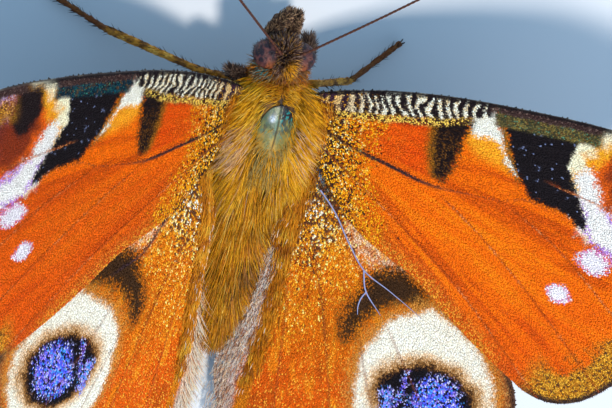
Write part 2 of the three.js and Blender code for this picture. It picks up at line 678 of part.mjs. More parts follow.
const legs = new THREE.Group();
for (const [name, side] of [['right', 1], ['left', -1]]) {
  body.add(part(`eye_${name}`, eye(side), 'eye'));
  body.add(part(`palp_${name}`, palp(side), 'face'));
  body.add(part(`antenna_${name}`, antenna(side), 'antenna'));
  body.add(part(`forewing_${name}`, wing(FOREWING, side, false), 'forewing'));
  body.add(part(`hindwing_${name}`, fuse([wing(HINDWING, side, true), ...hindwingFur(side)]), 'hindwing'));
  // The folded front leg, a short brush held against the shoulder.
  const tuck = side < 0
    ? [v3(-2.0, 0.85, -2.35), v3(-2.4, 1.2, -1.7), v3(-2.9, 1.4, -1.0), v3(-3.25, 1.4, -0.75)]
    : [v3(1.9, 0.9, -2.5), v3(2.05, 1.5, -2.5), v3(2.1, 2.2, -2.65), v3(2.05, 2.6, -2.75)];
  body.add(part(`foreleg_${name}`, foreleg(tuck), 'leg'));
  const hipMid = overFloor(side * 1.45, -0.9, -3.55);
  const mid = side > 0
    ? leg(hipMid, v3(3.15, 0.25, 4.3), v3(6.46, -0.19, 1.0), v3(9.62, 2.33, 0.26))
    : leg(hipMid, v3(-4.05, 0.34, 4.1), v3(-9.3, 1.6, 1.0), v3(-12.9, 3.3, 0.26));
  legs.add(part(`midleg_${name}`, mid, 'leg'));
  const hipHind = overFloor(side * 1.4, -3.5, -3.35);
  legs.add(part(`hindleg_${name}`,
    leg(hipHind, v3(side * 5.0, -6.6, 4.4), v3(side * 6.4, -11.0, 1.0), v3(side * 7.6, -14.2, 0.26)), 'leg'));
}

const butterfly = new THREE.Group();
butterfly.add(body, legs);
butterfly.updateMatrixWorld(true);
const box = new THREE.Box3().setFromObject(butterfly, true);
butterfly.position.set(-(box.min.x + box.max.x) / 2, -(box.min.y + box.max.y) / 2, -box.min.z);
const stage = new THREE.Group();
stage.name = 'peacock_butterfly';
stage.add(butterfly);

export default stage;
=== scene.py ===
"""A life-size still model of a peacock butterfly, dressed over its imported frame.

Sizes are in millimetres until a piece is finished, when it is brought to metres. In the body's own
frame x is the animal's right, y is towards the head and z is up from the back. Wing plans use s,
outward along the wing from its hinge, and u, forward.
"""
import logging
import math
from collections.abc import Callable
from dataclasses import dataclass, field
from enum import Enum

import bpy
import numpy as np
from mathutils import Matrix, Vector


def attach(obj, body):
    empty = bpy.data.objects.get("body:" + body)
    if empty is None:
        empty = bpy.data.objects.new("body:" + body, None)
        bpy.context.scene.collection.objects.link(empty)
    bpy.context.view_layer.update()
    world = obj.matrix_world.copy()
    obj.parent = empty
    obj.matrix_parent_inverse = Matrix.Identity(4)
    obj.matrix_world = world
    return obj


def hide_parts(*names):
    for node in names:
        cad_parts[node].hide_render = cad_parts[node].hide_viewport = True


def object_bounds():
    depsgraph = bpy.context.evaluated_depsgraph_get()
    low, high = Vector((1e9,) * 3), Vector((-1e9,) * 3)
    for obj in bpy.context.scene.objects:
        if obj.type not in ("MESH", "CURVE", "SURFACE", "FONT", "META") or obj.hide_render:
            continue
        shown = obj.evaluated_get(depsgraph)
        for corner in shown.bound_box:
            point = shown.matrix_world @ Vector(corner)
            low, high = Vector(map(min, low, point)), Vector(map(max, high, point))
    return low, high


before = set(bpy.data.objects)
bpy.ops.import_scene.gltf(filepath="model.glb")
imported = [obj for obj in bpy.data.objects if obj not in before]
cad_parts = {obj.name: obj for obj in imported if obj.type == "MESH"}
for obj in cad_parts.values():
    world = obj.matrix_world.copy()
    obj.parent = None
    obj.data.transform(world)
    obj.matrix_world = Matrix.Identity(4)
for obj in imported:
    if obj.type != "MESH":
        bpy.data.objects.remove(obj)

CAD_BOX = [list(corner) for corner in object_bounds()]
LOG = logging.getLogger("butterfly")
Array = np.ndarray
Marking = Callable[[Array, Array, Array], Array]

MM = 0.001
BODY_PITCH = math.radians(10.0)
HINGE_HEIGHT = 6.9
HINGE_Y = 6.344
PATCH = 0.003
BOX_MARGIN = 0.03
UNWRAP_EDGE = 0.02
UNWRAP_SPAN = 0.96
ROW_LENGTH = 0.2
ROW_WIDTH = 0.1
CELL = 0.1
MOST_FACES = 190000
CLOSEST_TO_FLOOR = 0.02
REAR_LIMIT = -23.2


class Side(Enum):
    """The animal's right or left."""

    RIGHT = 1
    LEFT = -1

    @property
    def word(self) -> str:
        """The side's name as the frame's nodes write it."""
        return self.name.lower()


class Face(Enum):
    """The upper or the lower face of a wing."""

    UPPER = 1
    LOWER = -1


def paint(red: int, green: int, blue: int) -> Array:
    """A colour given as it looks on a screen, 0 to 255, as linear light."""
    value = np.array([red, green, blue]) / 255.0
    return np.where(value <= 0.04045, value / 12.92, ((value + 0.055) / 1.055) ** 2.4)


def plain(count: int, red: int, green: int, blue: int) -> Array:
    """The same colour for each of a number of places."""
    return np.tile(paint(red, green, blue), (count, 1))


def smooth(low: float, high: float, value: Array) -> Array:
    """A soft step from 0 at low to 1 at high."""
    t = np.clip((value - low) / (high - low), 0.0, 1.0)
    return t * t * (3.0 - 2.0 * t)


def lay(ground: Array, colour: Array, share: Array) -> Array:
    """Lays a colour over a ground, by a share from 0 to 1 at each place."""
    share = np.asarray(share)[..., None]
    return ground * (1.0 - share) + colour * share


def hashed(cells: Array, seed: int) -> Array:
    """A random number between 0 and 1 for each whole-number cell.

    Args:
        cells: The cells, one row for each.
        seed: The seed of the random numbers.

    Returns:
        One number for each cell.
    """
    mixed = np.full(cells.shape[:-1], seed * 374761393, dtype=np.int64)
    for axis, prime in zip(range(cells.shape[-1]), (668265263, 1440662683, 987643211)):
        mixed = mixed + cells[..., axis].astype(np.int64) * prime
    mixed = (mixed ^ (mixed >> 13)) * 1274126177
    mixed = mixed ^ (mixed >> 16)
    return (mixed & 0xFFFFFF) / float(0xFFFFFF)


def noise(places: Array, size: float, seed: int) -> Array:
    """Smooth noise from -1 to 1, with swells about one size across, in two or three dimensions.

    Args:
        places: The places.
        size: How wide the swells are.
        seed: The seed of the random numbers.

    Returns:
        One value for each place.
    """
    scaled = places / size
    cells = np.floor(scaled)
    within = scaled - cells
    eased = within * within * (3.0 - 2.0 * within)
    total = np.zeros(places.shape[:-1])
    dimensions = places.shape[-1]
    for corner in range(2 ** dimensions):
        bits = np.array([(corner >> axis) & 1 for axis in range(dimensions)])
        weight = np.prod(np.where(bits == 1, eased, 1.0 - eased), axis=-1)
        total = total + weight * hashed(cells + bits, seed)
    return total * 2.0 - 1.0


def fractal(places: Array, size: float, seed: int, octaves: int = 3) -> Array:
    """Noise with finer noise added to it, from about -1 to 1.

    Args:
        places: The places.
        size: How wide the swells are.
        seed: The seed of the random numbers.
        octaves: How many noises are added, each half as wide as the last.

    Returns:
        One value for each place.
    """
    total = np.zeros(places.shape[:-1])
    for octave in range(octaves):
        total = total + noise(places, size / 2 ** octave, seed + octave) * 0.55 ** octave
    return total


def unit(vectors: Array) -> Array:
    """Vectors brought to length 1."""
    return vectors / np.maximum(np.linalg.norm(vectors, axis=-1, keepdims=True), 1e-9)


def smooth_path(points: Array, step: float, closed: bool = False) -> Array:
    """Points at even steps along a smooth curve through the given ones.

    Args:
        points: The points that the curve passes through, in two or three dimensions.
        step: The distance between the points that come back.
        closed: Whether the curve runs back to its start.

    Returns:
        The points along the curve.
    """
    points = np.asarray(points, float)
    count = len(points)
    if closed:
        before, after = points[np.arange(-1, count - 1)], points[(np.arange(count) + 1) % count]
        beyond = points[(np.arange(count) + 2) % count]
        starts = points
    else:
        starts, after = points[:-1], points[1:]
        before = np.vstack([2 * points[0] - points[1], points[:-2]])
        beyond = np.vstack([points[2:], 2 * points[-1] - points[-2]])
    t = np.linspace(0.0, 1.0, 24, endpoint=False)[:, None, None]
    fine = 0.5 * (2 * starts + (after - before) * t
                  + (2 * before - 5 * starts + 4 * after - beyond) * t ** 2
                  + (3 * starts - before - 3 * after + beyond) * t ** 3)
    fine = fine.transpose(1, 0, 2).reshape(-1, points.shape[1])
    fine = np.vstack([fine, fine[0] if closed else points[-1]])
    lengths = np.concatenate([[0.0], np.cumsum(np.linalg.norm(np.diff(fine, axis=0), axis=1))])
    pieces = max(2, round(lengths[-1] / step))
    marks = np.linspace(0.0, lengths[-1], pieces + 1)
    marks = marks[:-1] if closed else marks
    return np.stack([np.interp(marks, lengths, fine[:, k]) for k in range(points.shape[1])], axis=1)


def path_distance(places: Array, path: Array, closed: bool = False) -> tuple[Array, Array]:
    """How far places in a plan lie from a path.

    Args:
        places: The places.
        path: The path's points.
        closed: Whether the path runs back to its start.

    Returns:
        Each place's distance, and how far along the path its nearest point is, from 0 to 1.
    """
    best = np.full(len(places), np.inf)
    along = np.zeros(len(places))
    ends = np.roll(path, -1, axis=0)
    last = len(path) if closed else len(path) - 1
    for i in range(last):
        a, d = path[i], ends[i] - path[i]
        t = np.clip(((places - a) @ d) / max(float(d @ d), 1e-12), 0.0, 1.0)
        far = np.hypot(*(places - a - t[:, None] * d).T)
        near = far < best
        best = np.where(near, far, best)
        along = np.where(near, (i + t) / last, along)
    return best, along


def depth_inside(places: Array, ring: Array) -> Array:
    """How deep places lie inside a closed outline, and below 0 outside it.

    Args:
        places: The places.
        ring: The outline's points.

    Returns:
        One depth for each place.
    """
    odd = np.zeros(len(places), bool)
    s, u = places.T
    for (s1, u1), (s0, u0) in zip(ring, np.roll(ring, 1, axis=0)):
        if u1 == u0:
            continue
        crosses = (u1 > u) != (u0 > u)
        odd ^= crosses & (s < (s0 - s1) * (u - u1) / (u0 - u1) + s1)
    far, _ = path_distance(places, ring, closed=True)
    return np.where(odd, far, -far)


def boxed(places: Array) -> Array:
    """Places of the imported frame, kept a hair's width inside the model's box."""
    low, high = np.array(CAD_BOX[0]) / MM + BOX_MARGIN, np.array(CAD_BOX[1]) / MM - BOX_MARGIN
    return np.clip(places, low, high)


def on_floor(points: Array) -> Array:
    """Moves points from the body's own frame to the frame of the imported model.

    Args:
        points: The points, in millimetres.

    Returns:
        The moved points.
    """
    turn_cos, turn_sin = math.cos(BODY_PITCH), math.sin(BODY_PITCH)
    x, y, z = np.moveaxis(np.asarray(points, float), -1, 0)
    return np.stack([x, y * turn_cos - z * turn_sin + HINGE_Y,
                     y * turn_sin + z * turn_cos + HINGE_HEIGHT], axis=-1)


# Finishes


@dataclass(frozen=True)
class Finish:
    """A surface that takes its colour from the piece's own Colour attribute.

    Sizes are in millimetres on the piece. The colour varies by shade, and grain raises a fine relief.
    """

    name: str
    roughness: float = 0.6
    specular: float = 0.4
    metallic: float = 0.0
    shade: float = 0.2
    shade_size: float = 0.5
    grain: float = 0.2
    grain_size: float = 0.08

    def material(self) -> bpy.types.Material:
        """The finish as a Blender material.

        Returns:
            The material.
        """
        material = bpy.data.materials.new(self.name)
        material.use_nodes = True
        nodes, links = material.node_tree.nodes, material.node_tree.links
        shader = nodes["Principled BSDF"]
        shader.inputs["Specular IOR Level"].default_value = self.specular
        shader.inputs["Metallic"].default_value = self.metallic
        colour = nodes.new("ShaderNodeAttribute")
        colour.attribute_name = "Colour"
        place = nodes.new("ShaderNodeTexCoord")
        swell = self.texture(nodes, links, place, self.shade_size).outputs["Fac"]
        tint = nodes.new("ShaderNodeVectorMath")
        tint.operation = "SCALE"
        links.new(colour.outputs["Color"], tint.inputs[0])
        links.new(tint.outputs["Vector"], shader.inputs["Base Color"])
        spans = ((1.0 - self.shade, 1.0 + self.shade, tint.inputs["Scale"]),
                 (self.roughness * 0.8, min(1.0, self.roughness * 1.2), shader.inputs["Roughness"]))
        for low, high, socket in spans:
            span = nodes.new("ShaderNodeMapRange")
            span.inputs["To Min"].default_value = low
            span.inputs["To Max"].default_value = high
            links.new(swell, span.inputs["Value"])
            links.new(span.outputs["Result"], socket)
        bump = nodes.new("ShaderNodeBump")
        bump.inputs["Strength"].default_value = self.grain
        bump.inputs["Distance"].default_value = self.grain_size * MM
        links.new(self.relief(nodes, links, place), bump.inputs["Height"])
        links.new(bump.outputs["Normal"], shader.inputs["Normal"])
        return material

    def texture(self, nodes: bpy.types.Nodes, links: bpy.types.NodeLinks,
                place: bpy.types.Node, size: float) -> bpy.types.Node:
        """A noise texture on the piece's own coordinates, with swells one size across.

        Args:
            nodes: The material's nodes.
            links: The material's links.
            place: The node with the coordinates.
            size: How wide the swells are.

        Returns:
            The texture's node.
        """
        texture = nodes.new("ShaderNodeTexNoise")
        texture.inputs["Scale"].default_value = 1.0 / (size * MM)
        texture.inputs["Detail"].default_value = 3.0
        links.new(place.outputs["Object"], texture.inputs["Vector"])
        return texture

    def relief(self, nodes: bpy.types.Nodes, links: bpy.types.NodeLinks,
               place: bpy.types.Node) -> bpy.types.NodeSocket:
        """The socket with the height of the fine relief."""
        return self.texture(nodes, links, place, self.grain_size).outputs["Fac"]


@dataclass(frozen=True)
class FacetFinish(Finish):
    """A finish with a relief of close round facets, as on a compound eye."""

    def relief(self, nodes: bpy.types.Nodes, links: bpy.types.NodeLinks,
               place: bpy.types.Node) -> bpy.types.NodeSocket:
        """The socket with the height of the facets.

        Args:
            nodes: The material's nodes.
            links: The material's links.
            place: The node with the coordinates.

        Returns:
            The socket.
        """
        cells = nodes.new("ShaderNodeTexVoronoi")
        cells.inputs["Scale"].default_value = 1.0 / (self.grain_size * MM)
        cells.inputs["Randomness"].default_value = 0.35
        links.new(place.outputs["Object"], cells.inputs["Vector"])
        dome = nodes.new("ShaderNodeMath")
        dome.operation = "SUBTRACT"
        dome.inputs[0].default_value = 1.0
        links.new(cells.outputs["Distance"], dome.inputs[1])
        return dome.outputs["Value"]


MEMBRANE = Finish("wing_membrane", roughness=0.7, specular=0.15, shade=0.18, grain=0.5, grain_size=0.12)
SCALE = Finish("wing_scale", roughness=0.55, specular=0.16, shade=0.12, grain=0.1)
FRINGE = Finish("wing_fringe", roughness=0.7, specular=0.15, shade=0.1)
CUTICLE = Finish("body_cuticle", roughness=0.65, specular=0.3, shade=0.3, grain=0.5, grain_size=0.15)
HAIR = Finish("golden_hair", roughness=0.5, specular=0.22, shade=0.1, grain=0.0)
PLATE = Finish("back_plate", roughness=0.36, specular=0.5, metallic=0.15, shade=0.4,
               shade_size=0.35, grain=0.25, grain_size=0.12)
EYE = FacetFinish("compound_eye", roughness=0.45, specular=0.35, shade=0.5, shade_size=0.5,
                  grain=0.6, grain_size=0.07)
HORN = Finish("horny_limb", roughness=0.55, specular=0.2, shade=0.25, shade_size=0.3, grain=0.5)


# Making pieces


def clear_selection() -> None:
    """Leaves nothing selected and nothing active."""
    for thing in bpy.context.selected_objects:
        thing.select_set(False)
    bpy.context.view_layer.objects.active = None


def set_mode(mode: str) -> None:
    """Puts the active object in a mode."""
    bpy.ops.object.mode_set(mode=mode)


def vertices_of(piece: bpy.types.Object) -> Array:
    """The places of a mesh's vertices.

    Args:
        piece: The mesh's object.

    Returns:
        One row for each vertex.
    """
    flat = np.empty(len(piece.data.vertices) * 3, np.float32)
    piece.data.vertices.foreach_get("co", flat)
    return flat.reshape(-1, 3).astype(float)


def move_vertices(piece: bpy.types.Object, places: Array) -> None:
    """Moves a mesh's vertices to new places."""
    piece.data.vertices.foreach_set("co", np.asarray(places, np.float32).ravel())
    piece.data.update()


def select_vertices(piece: bpy.types.Object, chosen: Array) -> None:
    """Selects the chosen vertices of the active mesh and enters edit mode on them.

    Args:
        piece: The mesh's object.
        chosen: Whether each vertex is chosen.
    """
    set_mode("EDIT")
    bpy.ops.mesh.select_mode(type="VERT")
    bpy.ops.mesh.select_all(action="DESELECT")
    set_mode("OBJECT")
    piece.data.vertices.foreach_set("select", np.asarray(chosen, bool))
    set_mode("EDIT")


def colour_vertices(piece: bpy.types.Object, colours: Array) -> None:
    """Stores a linear colour at each vertex.

    Args:
        piece: The mesh's object.
        colours: A linear colour for each vertex.
    """
    layer = piece.data.color_attributes.new("Colour", "FLOAT_COLOR", "POINT")
    full = np.ones((len(colours), 4), np.float32)
    full[:, :3] = np.clip(colours, 0.0, 1.0)
    layer.data.foreach_set("color", full.ravel())


def apply_modifier(piece: bpy.types.Object, kind: str, **settings: object) -> None:
    """Adds a modifier to the active piece, sets it and applies it.

    Args:
        piece: The mesh's object.
        kind: The modifier's type.
        **settings: Its settings, by name.
    """
    modifier = piece.modifiers.new(kind.lower(), kind)
    for name, value in settings.items():
        setattr(modifier, name, value)
    bpy.ops.object.modifier_apply(modifier=modifier.name)


def finish_piece(piece: bpy.types.Object, name: str, finish: Finish,
                 replaced: tuple[str, ...] = (), millimetres: bool = True) -> bpy.types.Object:
    """Names a piece, brings it to metres, gives it its material and fixes it to the body.

    Args:
        piece: The finished mesh, in millimetres or metres.
        name: The piece's name.
        finish: Its surface.
        replaced: The frame's nodes that it stands for.
        millimetres: Whether its mesh is still in millimetres.

    Returns:
        The piece.
    """
    piece.name = name
    piece.data.name = name
    if millimetres:
        piece.data.transform(Matrix.Scale(MM, 4))
    piece.data.materials.clear()
    material = bpy.data.materials.get(finish.name) or finish.material()
    piece.data.materials.append(material)
    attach(piece, "root")
    if replaced:
        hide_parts(*replaced)
    LOG.info("%s: %d faces", name, len(piece.data.polygons))
    return piece


@dataclass
class Tufts:
    """Thousands of small closed solids that are made together as one mesh.

    The arrays hold one row for each solid: its vertices, their colours and their places on the
    unwrapped skin. All solids share one list of faces.
    """

    vertices: Array
    faces: Array
    colours: Array
    unwrap: Array

    def build(self, name: str, finish: Finish, slot: str) -> bpy.types.Object:
        """Makes the joined mesh and fixes it to the body.

        Args:
            name: The piece's name.
            finish: Its surface.
            slot: The record's material slot, not used.

        Returns:
            The piece.
        """
        count, corners, _ = self.vertices.shape
        offsets = (np.arange(count) * corners)[:, None, None]
        faces = self.outward()[None, :, :] + offsets
        faces = faces.reshape(-1, 3).astype(np.int32)
        mesh = bpy.data.meshes.new(name)
        mesh.vertices.add(count * corners)
        mesh.vertices.foreach_set("co", (boxed(self.vertices) * MM).astype(np.float32).ravel())
        mesh.loops.add(faces.size)
        mesh.loops.foreach_set("vertex_index", faces.ravel())
        mesh.polygons.add(len(faces))
        mesh.polygons.foreach_set("loop_start", np.arange(0, faces.size, 3, dtype=np.int32))
        mesh.update(calc_edges=True)
        layer = mesh.uv_layers.new(name="OFBake")
        flat = self.unwrap.reshape(-1, 2)[faces.ravel()]
        layer.data.foreach_set("uv", flat.astype(np.float32).ravel())
        piece = bpy.data.objects.new(name, mesh)
        bpy.context.scene.collection.objects.link(piece)
        colour_vertices(piece, self.colours.reshape(-1, 3))
        return finish_piece(piece, name, finish, millimetres=False)

    def outward(self) -> Array:
        """The shared faces, turned so that they point outwards.

        Returns:
            The vertex numbers of each face.
        """
        first = self.vertices[:64][:, self.faces]
        volume = np.einsum("nfk,nfk->", first[:, :, 0], np.cross(first[:, :, 1], first[:, :, 2]))
        return self.faces if volume > 0 else self.faces[:, ::-1]


def strand_faces(rings: int) -> Array:
    """The faces of one three-sided strand: its root cap, its rings and its tip.

    Args:
        rings: How many rings of three the strand has.

    Returns:
        The vertex numbers of each face.
    """
    faces = [(0, 1, 2)]
    for ring in range(rings - 1):
        for k in range(3):
            a, b = 3 * ring + k, 3 * ring + (k + 1) % 3
            faces.append((a, a + 3, b))
            faces.append((b, a + 3, b + 3))
    tip = 3 * rings
    base = tip - 3
    for k in range(3):
        faces.append((base + k, tip, base + (k + 1) % 3))
    return np.array(faces)


def strands(paths: Array, width: Array, colours: Array, roots: Array, flat: float = 0.5) -> Tufts:
    """Tapered hairs, each a closed three-sided blade along its own path.

    Args:
        paths: The stations of each hair from root to tip, three or more.
        width: Each hair's width at its root.
        colours: Each hair's colour, or a colour at every station.
        roots: Each root's place on the unwrapped skin.
        flat: The hair's thickness as a share of its width.

    Returns:
        The hairs.
    """
    count, stations, _ = paths.shape
    rings = stations - 1
    along = unit(np.gradient(paths, axis=1))
    reference = unit(np.cross(along[:, :1], np.array([0.0, 0.0, 1.0]) + 1e-3))
    side = unit(np.cross(along, np.cross(reference, along)))
    up = np.cross(side, along)
    taper = 1.0 - 0.75 * (np.arange(rings) / rings) ** 1.5
    taper[0] = 0.7
    reach = (width[:, None] * taper[None, :] / 2)[:, :, None]
    vertices = np.empty((count, 3 * rings + 1, 3))
    for k, angle in enumerate((math.pi / 2, math.pi * 7 / 6, math.pi * 11 / 6)):
        ring = paths[:, :rings] + reach * (side[:, :rings] * math.cos(angle)
                                           + up[:, :rings] * math.sin(angle) * flat)
        vertices[:, k:3 * rings:3] = ring
    vertices[:, -1] = paths[:, -1]
    if colours.ndim == 2:
        colours = np.repeat(colours[:, None], stations, axis=1)
        # Each hair is painted darker at its root and lighter at its tip: painted shade deep in the coat and
        # painted light on the tips.
        colours = colours * np.linspace(0.7, 1.15, stations)[None, :, None]
    tinted = np.concatenate([np.repeat(colours[:, :rings], 3, axis=1), colours[:, -1:]], axis=1)
    patch = np.empty((3 * rings + 1, 2))
    patch[:-1, 0] = np.tile([-0.5, 0.5, 0.0], rings)
    patch[:-1, 1] = np.repeat(np.linspace(-0.5, 0.3, rings), 3)
    patch[-1] = (0.0, 0.5)
    unwrap = roots[:, None, :] + patch[None] * PATCH
    return Tufts(vertices, strand_faces(rings), tinted, np.clip(unwrap, 0.0, 1.0))


def swept_tube(points: Array, radii: Array, sides: int) -> bpy.types.Object:
    """A round limb along a path, made from a path curve with its own radius at each point.

    Args:
        points: The path's points, in millimetres.
        radii: The radius at each of them.
        sides: About how many sides the limb has.

    Returns:
        The limb as a mesh, in millimetres, active and selected.
    """
    clear_selection()
    bpy.ops.curve.primitive_nurbs_path_add()
    limb = bpy.context.object
    curve = limb.data
    curve.splines.clear()
    spline = curve.splines.new("POLY")
    spline.points.add(len(points) - 1)
    for knot, place, radius in zip(spline.points, points, radii):
        knot.co = (*place, 1.0)
        knot.radius = radius
    curve.dimensions = "3D"
    curve.bevel_depth = 1.0
    curve.bevel_resolution = max(0, sides // 4 - 1)
    curve.use_fill_caps = True
    limb.location = (0.0, 0.0, 0.0)
    bpy.ops.object.convert(target="MESH")
    limb = bpy.context.object
    bpy.ops.object.shade_smooth()
    return limb


# Wings


@dataclass(frozen=True)
class Flight:
    """How both pairs of wings stand on the body."""

    hinge_x: float = 2.5
    rise: float = math.radians(36.0)
    droop: float = math.radians(-0.3)
    fold_angle: float = math.radians(63.0)
    fold_radius: float = 0.8
    fold_steps: int = 10
    skin_top: float = 0.13
    skin_thickness: float = 0.23
    vein_rise: float = 0.1
    vein_half_width: float = 0.17
    reach_x: float = 27.2
    reach_back: float = -17.48


@dataclass
class Wing:
    """One wing: a thin skin with raised veins, its scales on both faces and the fringe of its edge."""

    side: Side
    flight: Flight = field(default_factory=Flight)
    outline: Array = field(default_factory=lambda: np.zeros((0, 2)))
    veins: dict[str, Array] = field(default_factory=dict)
    root: Array = field(default_factory=lambda: np.array([-0.5, -0.9]))
    node: str = "forewing"
    cell: float = 0.19
    upper_spacing: float = 0.103
    lower_spacing: float = 0.19
    scale_length: float = 0.21
    scale_width: float = 0.12
    seed: int = 1

    def __post_init__(self) -> None:
        """Works out the smooth outline and veins."""
        self.ring = smooth_path(self.outline, 0.25, closed=True)
        self.lines = {name: smooth_path(vein, 0.5) for name, vein in self.veins.items()}
        self.low, self.high = self.ring.min(axis=0), self.ring.max(axis=0)
        self.random = np.random.default_rng(self.seed + (self.side is Side.LEFT))

    def crest(self, u: Array) -> Array:
        """Where the inner margin begins to fold down, at each u."""
        return np.full(np.shape(u), -9.0)

    def drop(self, s: Array, u: Array) -> Array:
        """How far the wing's middle surface lies off the fore wing's."""
        return np.zeros(np.shape(s))

    def place(self, s: Array, u: Array, n: Array) -> Array:
        """Places a point of the plan, raised by n off the middle surface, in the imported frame.

        Args:
            s: How far outward the points lie.
            u: How far forward they lie.
            n: How far above the wing's middle surface they lie.

        Returns:
            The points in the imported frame.
        """
        flight = self.flight
        crest = self.crest(u)
        start = np.maximum(s, crest)
        base = flight.rise + flight.droop * start
        level = n + self.drop(start, u)
        x = flight.hinge_x + (np.sin(base) - math.sin(flight.rise)) / flight.droop
        z = (math.cos(flight.rise) - np.cos(base)) / flight.droop
        reach = np.maximum(crest - s, 0.0)
        angle = base
        for step in range(flight.fold_steps):
            along = reach * (step + 0.5) / flight.fold_steps
            angle = base + (flight.fold_angle - base) * np.minimum(1.0, along / flight.fold_radius)
            x = x - np.cos(angle) * reach / flight.fold_steps
            z = z - np.sin(angle) * reach / flight.fold_steps
        across = self.side.value * (x - level * np.sin(angle))
        return on_floor(np.stack([across, u, z + level * np.cos(angle)], axis=-1))

    def relief(self, places: Array) -> Array:
        """How far the veins and the soft folds between them raise the skin.

        Args:
            places: The places.

        Returns:
            The height.
        """
        rise = np.zeros(len(places))
        for line in self.lines.values():
            far, along = path_distance(places, line)
            height = self.flight.vein_rise * (1.0 - 0.6 * along)
            rise = np.maximum(rise, height * np.exp(-((far / self.flight.vein_half_width) ** 2)))
        reach, turn = self.polar(places)
        folds = noise(np.stack([turn * 9.0, reach * 0.12], axis=-1), 1.0, 40)
        return rise + 0.035 * folds

    def on_skin(self, s: Array, u: Array, n: Array, face: Face = Face.UPPER) -> Array:
        """Places a point raised by n off the skin of one face.

        Args:
            s: How far outward the points lie.
            u: How far forward they lie.
            n: How far they are raised.
            face: The wing's face.

        Returns:
            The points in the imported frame.
        """
        if face is Face.UPPER:
            places = np.stack([s, u], axis=-1).reshape(-1, 2)
            base = self.flight.skin_top + self.relief(places).reshape(np.shape(s))
            return self.place(s, u, base + n)
        base = self.flight.skin_top - self.flight.skin_thickness
        return self.place(s, u, base - n)

    def polar(self, places: Array) -> tuple[Array, Array]:
        """How far places of the plan lie from the root, and their turn about it."""
        outward = places - self.root
        return np.hypot(*outward.T), np.arctan2(outward[:, 1], outward[:, 0])

    def heading(self, places: Array) -> Array:
        """The way the scales point at places of the plan."""
        return unit(places - self.root)

    def unwrap(self, places: Array) -> Array:
        """Places of the plan on the unwrapped skin, from 0 to 1."""
        span = float(max(self.high - self.low)) * 1.05
        return UNWRAP_EDGE + (places - self.low) / span * UNWRAP_SPAN

    def ground(self, places: Array, chance: Array) -> Array:
        """The upper face's own colour, under its markings."""
        raise NotImplementedError

    def markings(self) -> tuple[Marking, ...]:
        """The upper face's markings, from the lowest to the topmost."""
        raise NotImplementedError

    def upper_colours(self, places: Array, chance: Array) -> Array:
        """The colours of the upper face, from the ground up to the veins.

        Args:
            places: Places in the plan.
            chance: A random number for each place, which makes single scales differ.

        Returns:
            A linear colour for each place.
        """
        colours = self.ground(places, chance)
        for marking in self.markings():
            colours = marking(colours, places, chance)
        return colours

    def rows(self, places: Array, seed: int) -> Array:
        """A random number for each of the short cells that line up in rows outward from the root.

        Args:
            places: The places.
            seed: The seed of the random numbers.

        Returns:
            One number for each place.
        """
        reach, turn = self.polar(places)
        ring = np.floor(reach / ROW_LENGTH)
        slot = np.floor(turn * (ring + 0.5) * ROW_LENGTH / ROW_WIDTH)
        return hashed(np.stack([ring, slot], axis=-1), seed)

    def lower_colours(self, places: Array, chance: Array) -> Array:
        """The colours of the lower face: near black, with fine waves of paler brown.

        Args:
            places: The places.
            chance: A random number for each place.

        Returns:
            A linear colour for each place.
        """
        reach = self.polar(places)[0] + 0.6 * fractal(places, 2.5, 71)
        waves = 0.5 + 0.5 * np.sin(reach * 5.2 + 2.0 * noise(places, 3.0, 72))
        colours = plain(len(places), 54, 41, 36)
        colours = lay(colours, paint(112, 90, 74), 0.8 * waves ** 3)
        band = smooth(0.35, 0.55, reach / float(np.hypot(*(self.high - self.low))) + 0.04 * chance)
        colours = lay(colours, paint(92, 76, 66), 0.45 * band)
        colours = lay(colours, paint(150, 132, 112), 0.6 * (chance > 0.96))
        return colours * (0.8 + 0.4 * chance)[:, None]

    def scattered(self, spacing: float, inset: float) -> Array:
        """Places in close staggered rows all over the wing.

        Args:
            spacing: The distance between neighbours.
            inset: How far they keep from the edge.

        Returns:
            The places in the plan.
        """
        rows = np.arange(self.low[1], self.high[1], spacing * 0.9)
        columns = np.arange(self.low[0], self.high[0], spacing * 1.1)
        s, u = np.meshgrid(columns, rows)
        s = s + (np.arange(len(rows)) % 2)[:, None] * spacing * 0.55
        places = np.stack([s, u], axis=-1).reshape(-1, 2)
        places = places + self.random.uniform(-0.36, 0.36, places.shape) * spacing
        return places[depth_inside(places, self.ring) > inset]

    def build(self) -> None:
        """Makes the skin, the scales and the fringe."""
        self.skin()
        self.scales(Face.UPPER, self.upper_spacing)
        self.scales(Face.LOWER, self.lower_spacing)
        self.fringe()

